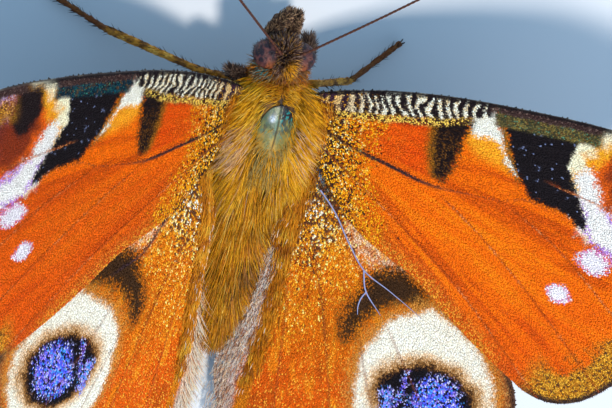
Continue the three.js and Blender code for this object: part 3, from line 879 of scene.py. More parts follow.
    def skin(self) -> bpy.types.Object:
        """The membrane: a grid cut to the outline, curved to the wing's pose and given its thickness.

        Returns:
            The piece.
        """
        clear_selection()
        span = self.high - self.low
        counts = np.ceil(span / self.cell).astype(int)
        across, along = (int(count) for count in counts)
        bpy.ops.mesh.primitive_grid_add(x_subdivisions=across, y_subdivisions=along, size=1.0)
        piece = bpy.context.object
        set_mode("EDIT")
        bpy.ops.mesh.select_all(action="SELECT")
        bpy.ops.transform.resize(value=(float(span[0]), float(span[1]), 1.0))
        middle = (self.low + self.high) / 2
        bpy.ops.transform.translate(value=(float(middle[0]), float(middle[1]), 0.0))
        set_mode("OBJECT")
        outside = depth_inside(vertices_of(piece)[:, :2], self.ring) < 0.35 * self.cell
        select_vertices(piece, outside)
        bpy.ops.mesh.delete(type="VERT")
        if self.side is Side.LEFT:
            bpy.ops.mesh.select_all(action="SELECT")
            bpy.ops.mesh.flip_normals()
        bpy.ops.mesh.select_all(action="DESELECT")
        bpy.ops.mesh.select_non_manifold()
        set_mode("OBJECT")
        plan = vertices_of(piece)[:, :2]
        edge = np.empty(len(plan), bool)
        piece.data.vertices.foreach_get("select", edge)
        plan[edge] = self.nearest_edge(plan[edge])
        stored = piece.data.attributes.new("plan", "FLOAT_VECTOR", "POINT")
        stored.data.foreach_set("vector", np.pad(plan, ((0, 0), (0, 1))).astype(np.float32).ravel())
        move_vertices(piece, boxed(self.on_skin(plan[:, 0], plan[:, 1], np.zeros(len(plan)))))
        apply_modifier(piece, "SOLIDIFY", thickness=self.flight.skin_thickness, offset=-1.0)
        move_vertices(piece, boxed(vertices_of(piece)))
        flat = np.empty(len(piece.data.vertices) * 3, np.float32)
        piece.data.attributes["plan"].data.foreach_get("vector", flat)
        places = flat.reshape(-1, 3)[:, :2].astype(float)
        chance = hashed(np.floor(places / CELL), 5)
        # The skin takes the upper face's colours darkened to 0.8, as painted shade where it shows between
        # the scales.
        colours = self.upper_colours(places, chance) * 0.8
        under = np.arange(len(places)) >= len(plan)
        colours[under] = self.lower_colours(places[under], chance[under])
        colour_vertices(piece, colours)
        piece.data.attributes.remove(piece.data.attributes["plan"])
        bpy.ops.object.shade_smooth()
        name = f"{self.node}_{self.side.word}"
        return finish_piece(piece, f"{name}_skin", MEMBRANE, (name,))

    def nearest_edge(self, places: Array) -> Array:
        """The nearest points of the outline.

        Args:
            places: The places.

        Returns:
            One point for each place.
        """
        fine = smooth_path(self.ring, 0.04, closed=True)
        gaps = np.hypot(places[:, None, 0] - fine[None, :, 0], places[:, None, 1] - fine[None, :, 1])
        return fine[np.argmin(gaps, axis=1)]

    def scales(self, face: Face, spacing: float) -> bpy.types.Object:
        """The scales of one face, each a thin ridged wedge whose blunt end lies over the next one's root.

        Args:
            face: The wing's face.
            spacing: The distance between neighbours.

        Returns:
            The piece.
        """
        places = self.scattered(spacing, 0.06)
        count = len(places)
        chance = self.random.random(count)
        ahead = self.heading(places)
        sway = self.random.normal(0.0, 0.16, count)
        ahead = np.stack([ahead[:, 0] * np.cos(sway) - ahead[:, 1] * np.sin(sway),
                          ahead[:, 0] * np.sin(sway) + ahead[:, 1] * np.cos(sway)], axis=-1)
        aside = np.stack([-ahead[:, 1], ahead[:, 0]], axis=-1)
        size = spacing / self.upper_spacing
        length = self.scale_length * size * self.random.uniform(0.85, 1.15, count)
        width = self.scale_width * size * self.random.uniform(0.85, 1.15, count)
        tilt = self.random.uniform(0.02, 0.075, count)
        roll = self.random.normal(0.0, 0.012, count)
        marks = ((-0.55, 0.0, -0.025), (0.42, -0.46, 0.0), (0.42, 0.46, 0.0), (0.25, 0.0, 0.026))
        plan = np.stack([places + ahead * (length * a)[:, None] + aside * (width * b)[:, None]
                         for a, b, _ in marks], axis=1)
        lifts = np.stack([c + tilt * max(0.0, a + 0.5) + roll * np.sign(b) + 0.008
                          for a, b, c in marks], axis=1)
        vertices = self.on_skin(plan[..., 0], plan[..., 1], lifts, face)
        painter = self.upper_colours if face is Face.UPPER else self.lower_colours
        colours = painter(places, chance) * self.random.uniform(0.82, 1.2, (count, 1))
        # Painted shade and highlight on each scale: the root, under the scale before it, is darkened to 0.7
        # and the raised ridge lightened to 1.14.
        tone = np.array([0.7, 1.06, 1.06, 1.14])
        faces = np.array([(0, 2, 1), (0, 1, 3), (0, 3, 2), (1, 2, 3)])
        patch = np.array([(0.0, -0.5), (0.5, 0.5), (-0.5, 0.5), (0.0, 0.2)]) * PATCH
        unwrap = self.unwrap(places)[:, None] + patch[None]
        tufts = Tufts(vertices, faces, colours[:, None] * tone[None, :, None], unwrap)
        name = f"{self.node}_{self.side.word}_{face.name.lower()}_scales"
        return tufts.build(name, SCALE, self.node)

    def fringe(self) -> bpy.types.Object:
        """The fine hairs that stand out all along the edge.

        Returns:
            The piece.
        """
        edge = smooth_path(self.ring, 0.05, closed=True)
        along = unit(np.roll(edge, -1, axis=0) - np.roll(edge, 1, axis=0))
        out = np.stack([along[:, 1], -along[:, 0]], axis=-1)
        middle = edge.mean(axis=0)
        if np.mean(np.sum(out * (edge - middle), axis=1)) < 0:
            out = -out
        lean = unit(out + 0.5 * self.heading(edge))
        count = len(edge)
        length = self.fringe_length(edge) * self.random.uniform(0.7, 1.1, count)
        start = edge - out * 0.12
        stations = [start + lean * (length * part)[:, None] for part in (0.0, 0.45, 1.0)]
        level = self.random.uniform(-0.06, 0.1, count)
        paths = np.stack([self.place(place[:, 0], place[:, 1], level) for place in stations], axis=1)
        paths[..., 0] = np.clip(paths[..., 0], -self.flight.reach_x, self.flight.reach_x)
        paths[..., 1] = np.maximum(paths[..., 1], self.flight.reach_back)
        chance = self.random.random(count)
        inner = edge - out * 0.3
        colours = self.upper_colours(inner, chance) * self.random.uniform(0.6, 1.1, (count, 1))
        width = self.random.uniform(0.05, 0.08, count)
        tufts = strands(paths, width, colours, self.unwrap(edge))
        return tufts.build(f"{self.node}_{self.side.word}_fringe", FRINGE, self.node)

    def fringe_length(self, edge: Array) -> Array:
        """How long the fringe is at places on the edge."""
        return np.full(len(edge), 0.2)


@dataclass
class Patch:
    """A marking of the wing's pattern with a soft or ragged edge."""

    outline: tuple[tuple[float, float], ...]
    colour: Array
    soft: float = 0.12
    ragged: float = 0.2
    wobble: float = 0.1

    def share(self, places: Array, chance: Array) -> Array:
        """How much of the marking shows at each place, from 0 to 1.

        Args:
            places: The places.
            chance: A random number for each place.

        Returns:
            One share for each place.
        """
        ring = smooth_path(np.array(self.outline), 0.3, closed=True)
        depth = depth_inside(places, ring)
        depth = depth + self.wobble * fractal(places, 0.5, 17) + self.ragged * (chance - 0.5)
        return smooth(-self.soft, self.soft, depth)

    def lay_on(self, ground: Array, places: Array, chance: Array) -> Array:
        """Lays the marking over the ground's colours."""
        return lay(ground, self.colour, self.share(places, chance))


FOREWING_OUTLINE = np.array([
    (-0.1, 0.35), (2.4, 1.4), (4.7, 2.15), (8.2, 2.95), (12.0, 3.5), (16.6, 3.95), (21.2, 3.95),
    (25.0, 3.25), (27.6, 2.05), (28.9, 0.6), (29.0, -0.9), (27.7, -2.7), (25.8, -4.4), (24.3, -6.2),
    (23.3, -8.0), (22.5, -9.9), (21.2, -11.7), (19.8, -13.1), (18.2, -13.8), (16.6, -13.7),
    (15.3, -13.1), (13.0, -11.9), (10.4, -10.3), (8.3, -8.9), (5.8, -7.9), (4.0, -7.0), (2.2, -5.4),
    (0.8, -3.8), (-0.1, -2.8), (-0.25, -1.8), (-0.25, -0.6),
])
FOREWING_VEINS = {
    "subcosta": np.array([(0.1, 0.0), (5.0, 1.5), (10.0, 2.45), (14.5, 3.2), (18.5, 3.95)]),
    "radius": np.array([(0.1, -0.6), (4.0, 0.55), (8.5, 1.3), (12.2, 1.5), (13.6, 1.1), (20.0, 0.9),
                        (28.3, -1.9)]),
    "radius5": np.array([(12.2, 1.5), (18.0, 2.3), (23.5, 2.2), (28.9, 0.5)]),
    "crossvein": np.array([(13.6, 1.1), (14.1, -0.2), (13.9, -1.8)]),
    "media2": np.array([(14.1, -0.2), (20.0, -1.2), (26.4, -3.8)]),
    "cubitus": np.array([(0.1, -1.5), (2.4, -2.05), (5.2, -2.45), (7.8, -2.8), (10.1, -2.55),
                         (12.2, -2.3), (13.9, -1.8), (18.0, -2.9), (24.4, -6.1)]),
    "cubitus1": np.array([(12.2, -2.3), (16.0, -4.1), (20.0, -7.0), (22.8, -9.2)]),
    "cubitus2": np.array([(7.8, -2.8), (11.6, -4.95), (16.0, -8.2), (20.7, -12.2)]),
    "anal": np.array([(0.1, -2.3), (2.4, -3.5), (4.5, -4.6), (7.1, -6.1), (11.3, -8.8), (17.2, -13.75)]),
}
HINDWING_OUTLINE = np.array([
    (-0.9, -3.2), (1.2, -3.6), (3.4, -4.3), (5.6, -5.3), (8.2, -7.0), (11.0, -9.4), (13.4, -11.6),
    (15.0, -13.3), (15.9, -15.0), (16.0, -16.7), (15.6, -18.2), (14.9, -19.6), (14.3, -21.3),
    (13.1, -21.4), (11.5, -21.7), (10.0, -22.6), (8.2, -22.9), (6.4, -23.6), (4.3, -23.7),
    (2.2, -23.9), (0.4, -23.5), (-1.2, -22.6),
])
HINDWING_VEINS = {
    "costal": np.array([(-0.3, -4.0), (4.0, -6.1), (9.0, -9.4), (12.6, -12.0), (15.8, -15.1)]),
    "radial": np.array([(-0.3, -4.6), (2.2, -6.6), (3.7, -8.3), (5.1, -9.7), (6.9, -10.5), (8.8, -11.4),
                        (10.3, -12.3), (12.1, -14.0), (13.8, -16.1), (15.6, -18.3)]),
    "radial2": np.array([(3.7, -8.3), (7.0, -9.6), (10.4, -11.0), (13.6, -13.6), (16.0, -16.7)]),
    "medial": np.array([(5.1, -9.7), (5.6, -10.9), (7.1, -12.3), (9.0, -14.6), (11.6, -18.0),
                        (14.3, -21.3)]),
    "cubital": np.array([(5.6, -10.9), (5.4, -12.0), (6.4, -15.0), (8.2, -19.0), (10.0, -22.6)]),
    "cubital2": np.array([(-0.3, -5.2), (1.6, -8.5), (3.2, -12.5), (4.8, -17.5), (6.4, -23.6)]),
    "anal": np.array([(0.1, -8.5), (1.0, -13.0), (1.6, -18.0), (2.2, -23.9)]),
}
CREST_U = np.array([-25.0, -21.5, -19.2, -16.3, -13.5, -9.0, -4.0])
CREST_S = {
    Side.RIGHT: np.array([-0.2, -0.3, -0.3, 0.1, 0.2, 0.2, 0.1]),
    Side.LEFT: np.array([-0.3, -0.6, -0.8, -0.5, -0.22, 0.0, 0.1]),
}
FOLD_U = np.array([-25.0, -22.6, -20.5, -18.0, -15.0, -12.0, -9.0, -8.0, -6.8, -5.4, -3.0])
FOLD_DEPTH = np.array([0.5, 0.9, 2.4, 3.0, 3.1, 2.9, 1.4, 0.8, 0.7, 1.0, 1.0])


@dataclass
class ForeWing(Wing):
    """A fore wing, orange with black bars, a striped front edge and an eye near its tip."""

    outline: Array = field(default_factory=lambda: FOREWING_OUTLINE)
    veins: dict[str, Array] = field(default_factory=lambda: FOREWING_VEINS)
    eye_centre: tuple[float, float] = (20.3, 0.8)
    eye_radii: tuple[float, float] = (5.4, 4.4)
    stripe_gap: float = 0.53
    band_end: float = 10.4
    seed: int = 21

    def markings(self) -> tuple[Marking, ...]:
        """The upper face's markings, from the lowest to the topmost."""
        return (self.base_dust, self.apex_eye, self.bars, self.spots, self.margin, self.front_edge,
                self.vein_lines)

    def ground(self, places: Array, chance: Array) -> Array:
        """Bright orange, with burnt streaks that run outward between the veins, and painted shade on the
        rear of the left wing.

        Args:
            places: The places.
            chance: A random number for each place.

        Returns:
            A linear colour for each place.
        """
        reach, turn = self.polar(places)
        streak = fractal(np.stack([turn * 26.0, reach * 0.16], axis=-1), 1.0, 31)
        colours = plain(len(places), 242, 112, 0)
        colours = lay(colours, paint(192, 68, 2), 0.65 * smooth(0.1, 0.8, streak))
        colours = lay(colours, paint(250, 138, 8), 0.55 * smooth(0.2, 1.0, -streak))
        cell = smooth(8.4, 6.6, places[:, 0]) * smooth(-3.2, -1.4, places[:, 1])
        colours = lay(colours, paint(224, 74, 2), 0.75 * cell)
        # Painted shade: the left fore wing is darkened towards its rear.
        if self.side is Side.LEFT:
            colours = lay(colours, paint(206, 78, 6), 0.5 * smooth(-1.8, -4.5, places[:, 1]))
        inner = smooth(1.8, 0.1, depth_inside(places, self.ring)) * smooth(0.0, -5.0, places[:, 1])
        colours = lay(colours, paint(196, 84, 16), 0.6 * inner)
        outer = smooth(13.0, 19.0, places[:, 0] - 0.55 * (places[:, 1] + 6.0))
        colours = lay(colours, paint(226, 84, 4), 0.35 * outer * smooth(-5.0, -9.0, places[:, 1]))
        gilt = smooth(1.5, 0.1, depth_inside(places, self.ring)) * smooth(-3.0, -5.5, places[:, 1])
        gilt = gilt * smooth(15.5, 13.0, places[:, 0])
        colours = lay(colours, paint(226, 158, 48), 0.8 * gilt * (chance > 0.55))
        return colours * (0.88 + 0.24 * chance)[:, None]

    def base_dust(self, colours: Array, places: Array, chance: Array) -> Array:
        """Gold and dark scales scattered over the wing's base and back along its inner half, with near-white
        specks near the base as painted glints.

        Args:
            colours: The colours so far.
            places: The places.
            chance: A random number for each place.

        Returns:
            The colours with it.
        """
        s, u = places.T
        reach = s - 4.0 + 0.3 * np.abs(u + 0.8) + 0.6 * fractal(places, 1.1, 33)
        reach = reach - 2.6 * smooth(-2.6, -6.5, u)
        dust = smooth(3.2, -2.4, reach) * (0.5 + 0.5 * smooth(1.6, 0.2, reach))
        speck = self.rows(places, 8)
        mixed = 0.35 * speck + 0.65 * chance
        near = smooth(5.0, 0.8, s)
        colours = lay(colours, paint(198, 112, 4), 0.8 * dust)
        gold = (dust > 0.35 * chance) * (mixed > 0.5 + 0.3 * (1.0 - dust))
        colours = lay(colours, paint(240, 164, 14), gold)
        light = dust * (mixed > 0.74 + 0.1 * (1.0 - near)) * (0.5 + 0.5 * near)
        colours = lay(colours, paint(255, 214, 96), light)
        # The near-white specks near the base are painted glints.
        colours = lay(colours, paint(255, 240, 190), dust * near * (mixed > 0.84))
        dark = (mixed < (0.24 + 0.26 * near) * dust)
        colours = lay(colours, paint(44, 22, 26), 0.97 * dark)
        for name in ("radius", "cubitus", "anal"):
            far, _ = path_distance(places, self.lines[name])
            line = smooth(0.16, 0.05, far) * smooth(3.6, 2.4, s)
            colours = lay(colours, paint(44, 28, 30), 0.8 * line * (chance > 0.2))
        return colours

    def front_edge(self, colours: Array, places: Array, chance: Array) -> Array:
        """The front edge: black and cream stripes, then a band of painted sheen, olive on the right wing and
        teal on the left, and a beaded brown rim.

        Args:
            colours: The colours so far.
            places: The places.
            chance: A random number for each place.

        Returns:
            The colours with it.
        """
        s, u = places.T
        edge = np.interp(s, FOREWING_OUTLINE[:9, 0], FOREWING_OUTLINE[:9, 1])
        deep = edge - u + 0.06 * fractal(places, 0.6, 35)
        width = np.interp(s, (0.0, 2.0, 4.5, 7.5, 9.5, 11.0), (1.0, 1.3, 1.5, 1.45, 0.95, 0.6))
        band = smooth(0.12, -0.12, deep - width) * smooth(0.25, -0.25, s - self.band_end)
        band = band * smooth(-0.6, 0.4, s)
        lean = 0.45 if self.side is Side.LEFT else 0.2
        phase = (s - lean * deep + 0.34 * noise(places, 0.8, 36)) / self.stripe_gap
        wave = np.sin(2.0 * math.pi * phase) + 0.6 * noise(places, 0.3, 37) + 0.9 * (chance - 0.5)
        pale = smooth(0.1, 0.5, wave) * smooth(0.1, 0.22, deep + 0.1 * noise(places, 0.4, 38))
        cream = lay(plain(len(s), 252, 244, 222), paint(222, 170, 66),
                    np.maximum(0.85 * smooth(3.8, 0.6, s), 0.5 * (chance > 0.8)))
        striped = plain(len(s), 30, 18, 24)
        striped = lay(striped, paint(66, 38, 56), smooth(3.4, 0.5, s))
        striped = lay(striped, paint(214, 150, 40), (chance > 0.78) * smooth(4.0, 0.8, s))
        striped = lay(striped, cream, pale)
        colours = lay(colours, striped, band)
        below = smooth(0.34, 0.1, np.abs(deep - width - 0.2)) * smooth(9.6, 8.6, s) * smooth(0.3, 1.2, s)
        colours = lay(colours, paint(90, 50, 24), 0.7 * below)
        colours = lay(colours, paint(250, 206, 92), below * (chance > 0.5))
        colours = lay(colours, paint(44, 26, 28), below * (chance < 0.3))
        # The band is painted sheen: its hue is olive on the right wing and teal on the left, as the light
        # falls on each.
        sheen = smooth(1.35, 1.1, deep) * smooth(self.band_end, self.band_end + 0.5, s)
        sheen = sheen * smooth(17.2, 16.7, s)
        sheen_hue = paint(142, 122, 60) if self.side is Side.RIGHT else paint(10, 74, 92)
        deep_sheen_hue = paint(62, 64, 44) if self.side is Side.RIGHT else paint(8, 32, 46)
        colours = lay(colours, deep_sheen_hue, sheen)
        colours = lay(colours, sheen_hue, sheen * (chance > 0.45) * (0.6 + 0.4 * noise(places, 0.8, 39)))
        colours = lay(colours, paint(110, 78, 40), 0.8 * sheen * (chance < 0.12))
        colours = lay(colours, paint(60, 130, 110), 0.7 * sheen * (chance > 0.93))
        rim = smooth(0.5, 0.38, deep) * smooth(self.band_end - 0.6, self.band_end + 0.3, s)
        rim = rim * (1.0 - 0.65 * smooth(16.6, 17.2, s) * smooth(19.6, 18.8, s))
        colours = lay(colours, paint(66, 44, 42), rim)
        beads = smooth(0.2, 0.8, np.sin(s * 2.0 * math.pi / 0.42) * np.sin(deep * 11.0))
        colours = lay(colours, paint(122, 96, 88), 0.6 * rim * beads)
        return lay(colours, paint(30, 18, 20), smooth(0.13, 0.05, deep) * smooth(19.0, 17.0, s))

    def bars(self, colours: Array, places: Array, chance: Array) -> Array:
        """The two black bars and the pale bar between them.

        Args:
            colours: The colours so far.
            places: The places.
            chance: A random number for each place.

        Returns:
            The colours with it.
        """
        halo = Patch(((6.9, 1.6), (8.2, 1.9), (8.4, -1.4), (8.0, -2.4), (7.3, -1.6), (6.95, 0.4)),
                     paint(150, 96, 20), soft=0.3)
        bar = Patch(((7.2, 1.5), (9.1, 2.1), (9.3, 1.6), (9.1, 0.5), (8.85, -1.3), (8.55, -2.25),
                     (8.1, -2.3), (7.6, -1.5), (7.3, 0.4)), paint(26, 14, 16), soft=0.16, ragged=0.4)
        warm = Patch(((9.2, 1.4), (11.0, 1.7), (12.0, 0.6), (12.7, -0.5), (11.8, -0.3), (10.6, -0.1),
                      (9.6, 0.2)), paint(250, 168, 34), soft=0.45)
        pale = Patch(((9.25, 2.6), (10.4, 3.0), (11.05, 1.9), (11.55, 0.9), (12.2, -0.1), (12.75, -0.6),
                      (12.05, -0.05), (11.35, 0.75), (10.8, 1.2), (9.5, 1.15)), paint(246, 242, 230),
                     soft=0.15, ragged=0.3)
        main = Patch(((10.45, 2.75), (11.3, 2.15), (11.65, 1.5), (11.9, 0.85), (12.5, -0.2), (13.0, -0.9),
                      (13.6, -1.5), (14.8, -1.7), (16.0, -1.95), (17.3, -2.4), (16.85, -1.4),
                      (16.2, -0.3), (15.6, 0.65), (15.5, 1.8), (15.9, 3.0), (16.9, 3.9), (13.0, 3.3)),
                     paint(24, 17, 22), soft=0.09)
        rim = Patch(((10.6, 2.8), (11.6, 1.9), (12.1, 0.7), (13.0, -0.8), (12.8, -1.0), (12.0, -0.1),
                     (11.4, 0.9), (10.9, 1.9)), paint(140, 92, 26), soft=0.22, ragged=0.5)
        for marking in (halo, warm, rim, pale, bar, main):
            colours = marking.lay_on(colours, places, chance)
        black = np.maximum(bar.share(places, chance), main.share(places, chance))
        glint = black * (hashed(np.floor(places / CELL), 44) > 0.965) * smooth(8.8, 10.0, places[:, 0])
        colours = lay(colours, paint(120, 130, 170), 0.8 * glint)
        olive = bar.share(places, chance) * (chance > 0.72) * smooth(1.6, -0.6, places[:, 1])
        return lay(colours, paint(120, 74, 24), 0.7 * olive)

    def apex_eye(self, colours: Array, places: Array, chance: Array) -> Array:
        """The eye near the tip: cream, yellow and red-brown rings, with violet scales on its outer half.

        Args:
            colours: The colours so far.
            places: The places.
            chance: A random number for each place.

        Returns:
            The colours with it.
        """
        centre, radii = np.array(self.eye_centre), np.array(self.eye_radii)
        offset = (places - centre) / radii
        ring = np.hypot(*offset.T) + 0.07 * fractal(places, 0.7, 43) + 0.05 * (chance - 0.5)
        inside = smooth(1.04, 0.96, ring)
        outer = smooth(-0.1, 0.5, offset[:, 0] + 0.25 * offset[:, 1])
        inner = 1.0 - outer
        eye = plain(len(places), 140, 52, 22)
        eye = lay(eye, paint(226, 98, 14), smooth(0.4, 0.55, ring) * inner)
        eye = lay(eye, paint(248, 172, 36), smooth(0.56, 0.68, ring) * inner)
        eye = lay(eye, paint(246, 236, 206), smooth(0.7, 0.84, ring) * inner)
        eye = lay(eye, paint(44, 30, 48), outer)
        violet = outer * (chance > 0.35) * smooth(0.15, 0.5, ring) * smooth(1.0, 0.75, ring)
        eye = lay(eye, paint(120, 112, 214), violet)
        eye = lay(eye, paint(206, 196, 240), violet * (chance > 0.75))
        bar = Patch(((18.0, 3.6), (19.8, 3.7), (20.2, 2.2), (19.6, 0.9), (18.7, 0.9), (17.9, 2.0)),
                    paint(34, 22, 24), soft=0.25)
        eye = bar.lay_on(eye, places, chance)
        colours = lay(colours, eye, inside)
        low = Patch(((16.0, 0.6), (16.9, -1.6), (17.4, -2.6), (18.6, -3.3), (20.4, -4.0), (21.6, -3.6),
                     (20.9, -2.4), (19.4, -1.6), (17.9, -0.6), (16.9, 1.2)), paint(240, 236, 234),
                    soft=0.2, ragged=0.5)
        colours = low.lay_on(colours, places, chance)
        ring = smooth_path(np.array(low.outline), 0.3, closed=True)
        depth = depth_inside(places, ring) + 0.3 * fractal(places, 0.6, 45)
        edge = smooth(0.5, 0.1, np.abs(depth)) * smooth(-0.4, -1.6, places[:, 1])
        return lay(colours, paint(184, 128, 222), 0.85 * edge * (chance > 0.4))

    def spots(self, colours: Array, places: Array, chance: Array) -> Array:
        """The row of ragged lilac spots below the eye.

        Args:
            colours: The colours so far.
            places: The places.
            chance: A random number for each place.

        Returns:
            The colours with it.
        """
        for s, u, long, wide in ((18.3, -4.35, 1.0, 0.72), (16.75, -6.9, 0.72, 0.56),
                                 (20.9, -3.4, 0.6, 0.4)):
            outward = unit(np.array([s, u]) - self.root)
            offset = places - np.array([s, u])
            along, aside = offset @ outward, offset @ np.array([-outward[1], outward[0]])
            ring = np.hypot(along / long, aside / wide)
            ring = ring + 0.12 * fractal(places, 0.5, 47) + 0.6 * (chance - 0.5)
            colours = lay(colours, paint(206, 124, 176), smooth(1.2, 1.05, ring) * (chance > 0.35))
            colours = lay(colours, paint(236, 230, 240), smooth(1.0, 0.85, ring))
        return colours

    def margin(self, colours: Array, places: Array, chance: Array) -> Array:
        """The outer margin, olive brown with gold scales and a dark edge.

        Args:
            colours: The colours so far.
            places: The places.
            chance: A random number for each place.

        Returns:
            The colours with it.
        """
        depth = depth_inside(places, self.ring)
        s, u = places.T
        outer = smooth(15.4, 17.4, s - 0.25 * (u + 13.0)) * smooth(0.6, -0.4, u - 3.0 - 0.2 * (22.0 - s))
        band = smooth(0.45, -0.45, depth - 2.3 + 0.5 * fractal(places, 1.3, 51) + 0.5 * (chance - 0.5))
        band = band * outer
        colours = lay(colours, paint(184, 118, 24), band)
        colours = lay(colours, paint(228, 168, 50), band * (chance > 0.62) * 0.9)
        colours = lay(colours, paint(96, 60, 34), band * (chance < 0.18))
        return lay(colours, paint(54, 36, 34), smooth(0.5, 0.2, depth) * outer)

    def vein_lines(self, colours: Array, places: Array, chance: Array) -> Array:
        """The veins, a little darker than the ground with broken painted glints along them, and the dark
        streak below the cell.

        Args:
            colours: The colours so far.
            places: The places.
            chance: A random number for each place.

        Returns:
            The colours with it.
        """
        for name in ("cubitus1", "cubitus2", "anal", "media2"):
            far, along = path_distance(places, self.lines[name])
            line = smooth(0.1, 0.03, far) * smooth(0.0, 0.1, along)
            # Broken pale lines along the veins are painted glints.
            vein_glint = smooth(-0.2, 0.3, noise(places, 1.3, 46))
            colours = lay(colours, paint(150, 60, 10), 0.6 * line)
            colours = lay(colours, paint(232, 150, 90), 0.5 * line * vein_glint * (chance > 0.6))
        far, along = path_distance(places, self.lines["cubitus"])
        dark = smooth(0.17, 0.05, far) * smooth(0.1, 0.14, along) * smooth(0.4, 0.26, along)
        colours = lay(colours, paint(44, 34, 42), dark)
        faint = smooth(0.08, 0.03, far) * smooth(0.2, 0.3, along) * smooth(0.7, 0.5, along)
        return lay(colours, paint(90, 50, 40), 0.6 * faint * (chance > 0.35))

    def fringe_length(self, edge: Array) -> Array:
        """A short fringe, longest at the outer margin and shortest at the front edge.

        Args:
            edge: Places on the edge.

        Returns:
            One length for each place.
        """
        front = smooth(0.4, -0.4, np.abs(edge[:, 1] - np.interp(
            edge[:, 0], FOREWING_OUTLINE[:9, 0], FOREWING_OUTLINE[:9, 1])))
        return 0.26 - 0.16 * front


@dataclass
class HindWing(Wing):
    """A hind wing, golden at its base, with the large blue eye and the inner margin folded down."""

    outline: Array = field(default_factory=lambda: HINDWING_OUTLINE)
    veins: dict[str, Array] = field(default_factory=lambda: HINDWING_VEINS)
    root: Array = field(default_factory=lambda: np.array([-0.4, -2.4]))
    node: str = "hindwing"
    pupil_centre: tuple[float, float] = (10.6, -16.55)
    pupil_radii: tuple[float, float] = (2.8, 2.2)
    seed: int = 31

    def __post_init__(self) -> None:
        """Adds the hanging edge of the fold to the outline."""
        u = np.arange(-21.4, -4.0, 1.45)
        edge = self.crest(u) - np.interp(u, FOLD_U, FOLD_DEPTH)
        self.outline = np.vstack([self.outline, np.stack([edge, u], axis=-1)])
        super().__post_init__()

    def crest(self, u: Array) -> Array:
        """Where the inner margin begins to fold down, at each u."""
        return np.interp(u, CREST_U, CREST_S[self.side])

    def drop(self, s: Array, u: Array) -> Array:
        """The hind wing lies under the fore wing, and level with it behind its edge."""
        return -1.0 + 0.8 * smooth(0.8, 5.5, -3.6 - 0.66 * s - u)

    def markings(self) -> tuple[Marking, ...]:
        """The upper face's markings, from the lowest to the topmost."""
        return (self.base_dust, self.smudge, self.eye_ring, self.pupil, self.margin, self.fold,
                self.vein_lines)

    def ground(self, places: Array, chance: Array) -> Array:
        """Golden orange with fine streaks, redder outward.

        Args:
            places: The places.
            chance: A random number for each place.

        Returns:
            A linear colour for each place.
        """
        reach, turn = self.polar(places)
        streak = fractal(np.stack([turn * 26.0, reach * 0.4], axis=-1), 1.0, 61)
        colours = plain(len(places), 218, 112, 2)
        colours = lay(colours, paint(226, 92, 2), 0.8 * smooth(-14.0, -18.0, places[:, 1]))
        colours = lay(colours, paint(160, 74, 6), 0.5 * smooth(0.1, 0.9, streak))
        colours = lay(colours, paint(244, 156, 22), 0.5 * smooth(0.2, 0.9, -streak))
        colours = lay(colours, paint(250, 184, 60), 0.6 * (chance > 0.86))
        return colours * (0.82 + 0.3 * chance)[:, None]

    def base_dust(self, colours: Array, places: Array, chance: Array) -> Array:
        """Gold and pale gold scales on the dark dust of the base, with near-white specks as painted glints.

        Args:
            colours: The colours so far.
            places: The places.
            chance: A random number for each place.

        Returns:
            The colours with it.
        """
        s, u = places.T
        reach = np.hypot(s + 0.4, u + 2.4) + 1.2 * np.maximum(s - 2.4, 0.0) + 1.1 * fractal(places, 1.6, 63)
        dust = smooth(15.0, 5.0, reach)
        near = smooth(11.0, 4.0, reach)
        mixed = 0.65 * self.rows(places, 9) + 0.35 * chance
        colours = lay(colours, paint(170, 96, 16), 0.6 * near)
        colours = lay(colours, paint(70, 44, 38), (mixed < 0.16 * dust + 0.3 * near) * 0.85)
        colours = lay(colours, paint(244, 170, 34), (mixed > 0.78 - 0.26 * dust) * (dust > 0.05) * 0.85)
        colours = lay(colours, paint(255, 226, 130), (mixed > 0.94 - 0.24 * dust) * (dust > 0.05) * 0.95)
        # The near-white specks are painted glints.
        colours = lay(colours, paint(255, 250, 226), (mixed > 0.98 - 0.24 * near) * near)
        blush = Patch(((3.6, -7.3), (5.3, -7.6), (7.0, -8.4), (7.6, -9.1), (6.3, -9.3), (5.2, -9.2),
                       (4.2, -8.5)), paint(238, 206, 176), soft=0.6, ragged=1.2)
        share = blush.share(places, chance) * (0.25 + 0.75 * (self.rows(places, 10) > 0.45))
        colours = lay(colours, blush.colour, share)
        root = Patch(((0.2, -4.2), (0.9, -4.3), (1.8, -5.4), (2.2, -6.4), (1.4, -6.3), (0.7, -5.3)),
                     paint(30, 22, 32), soft=0.3, ragged=1.2)
        share = root.share(places, chance)
        colours = lay(colours, root.colour, 0.85 * share * (chance > 0.3))
        near = smooth(0.55, 0.3, np.hypot(s - 1.0, u + 4.95))
        return lay(colours, paint(118, 138, 160), 0.8 * near * (chance > 0.45))

    def smudge(self, colours: Array, places: Array, chance: Array) -> Array:
        """The soft dark cloud before the eye.

        Args:
            colours: The colours so far.
            places: The places.
            chance: A random number for each place.

        Returns:
            The colours with it.
        """
        outline = ((4.84, -14.05), (4.67, -12.8), (4.87, -11.75), (5.3, -11.0), (5.6, -10.3), (5.95, -9.65),
                   (6.82, -9.15), (7.8, -9.3), (9.3, -10.4), (9.9, -11.4), (8.1, -11.1), (7.1, -11.4),
                   (6.3, -12.0), (5.8, -12.8), (5.4, -13.9))
        halo = Patch(outline, paint(142, 92, 26), soft=0.75, ragged=0.8)
        cloud = Patch(outline, paint(62, 38, 18), soft=0.35, ragged=1.0)
        colours = halo.lay_on(colours, places, chance)
        return cloud.lay_on(colours, places, chance)

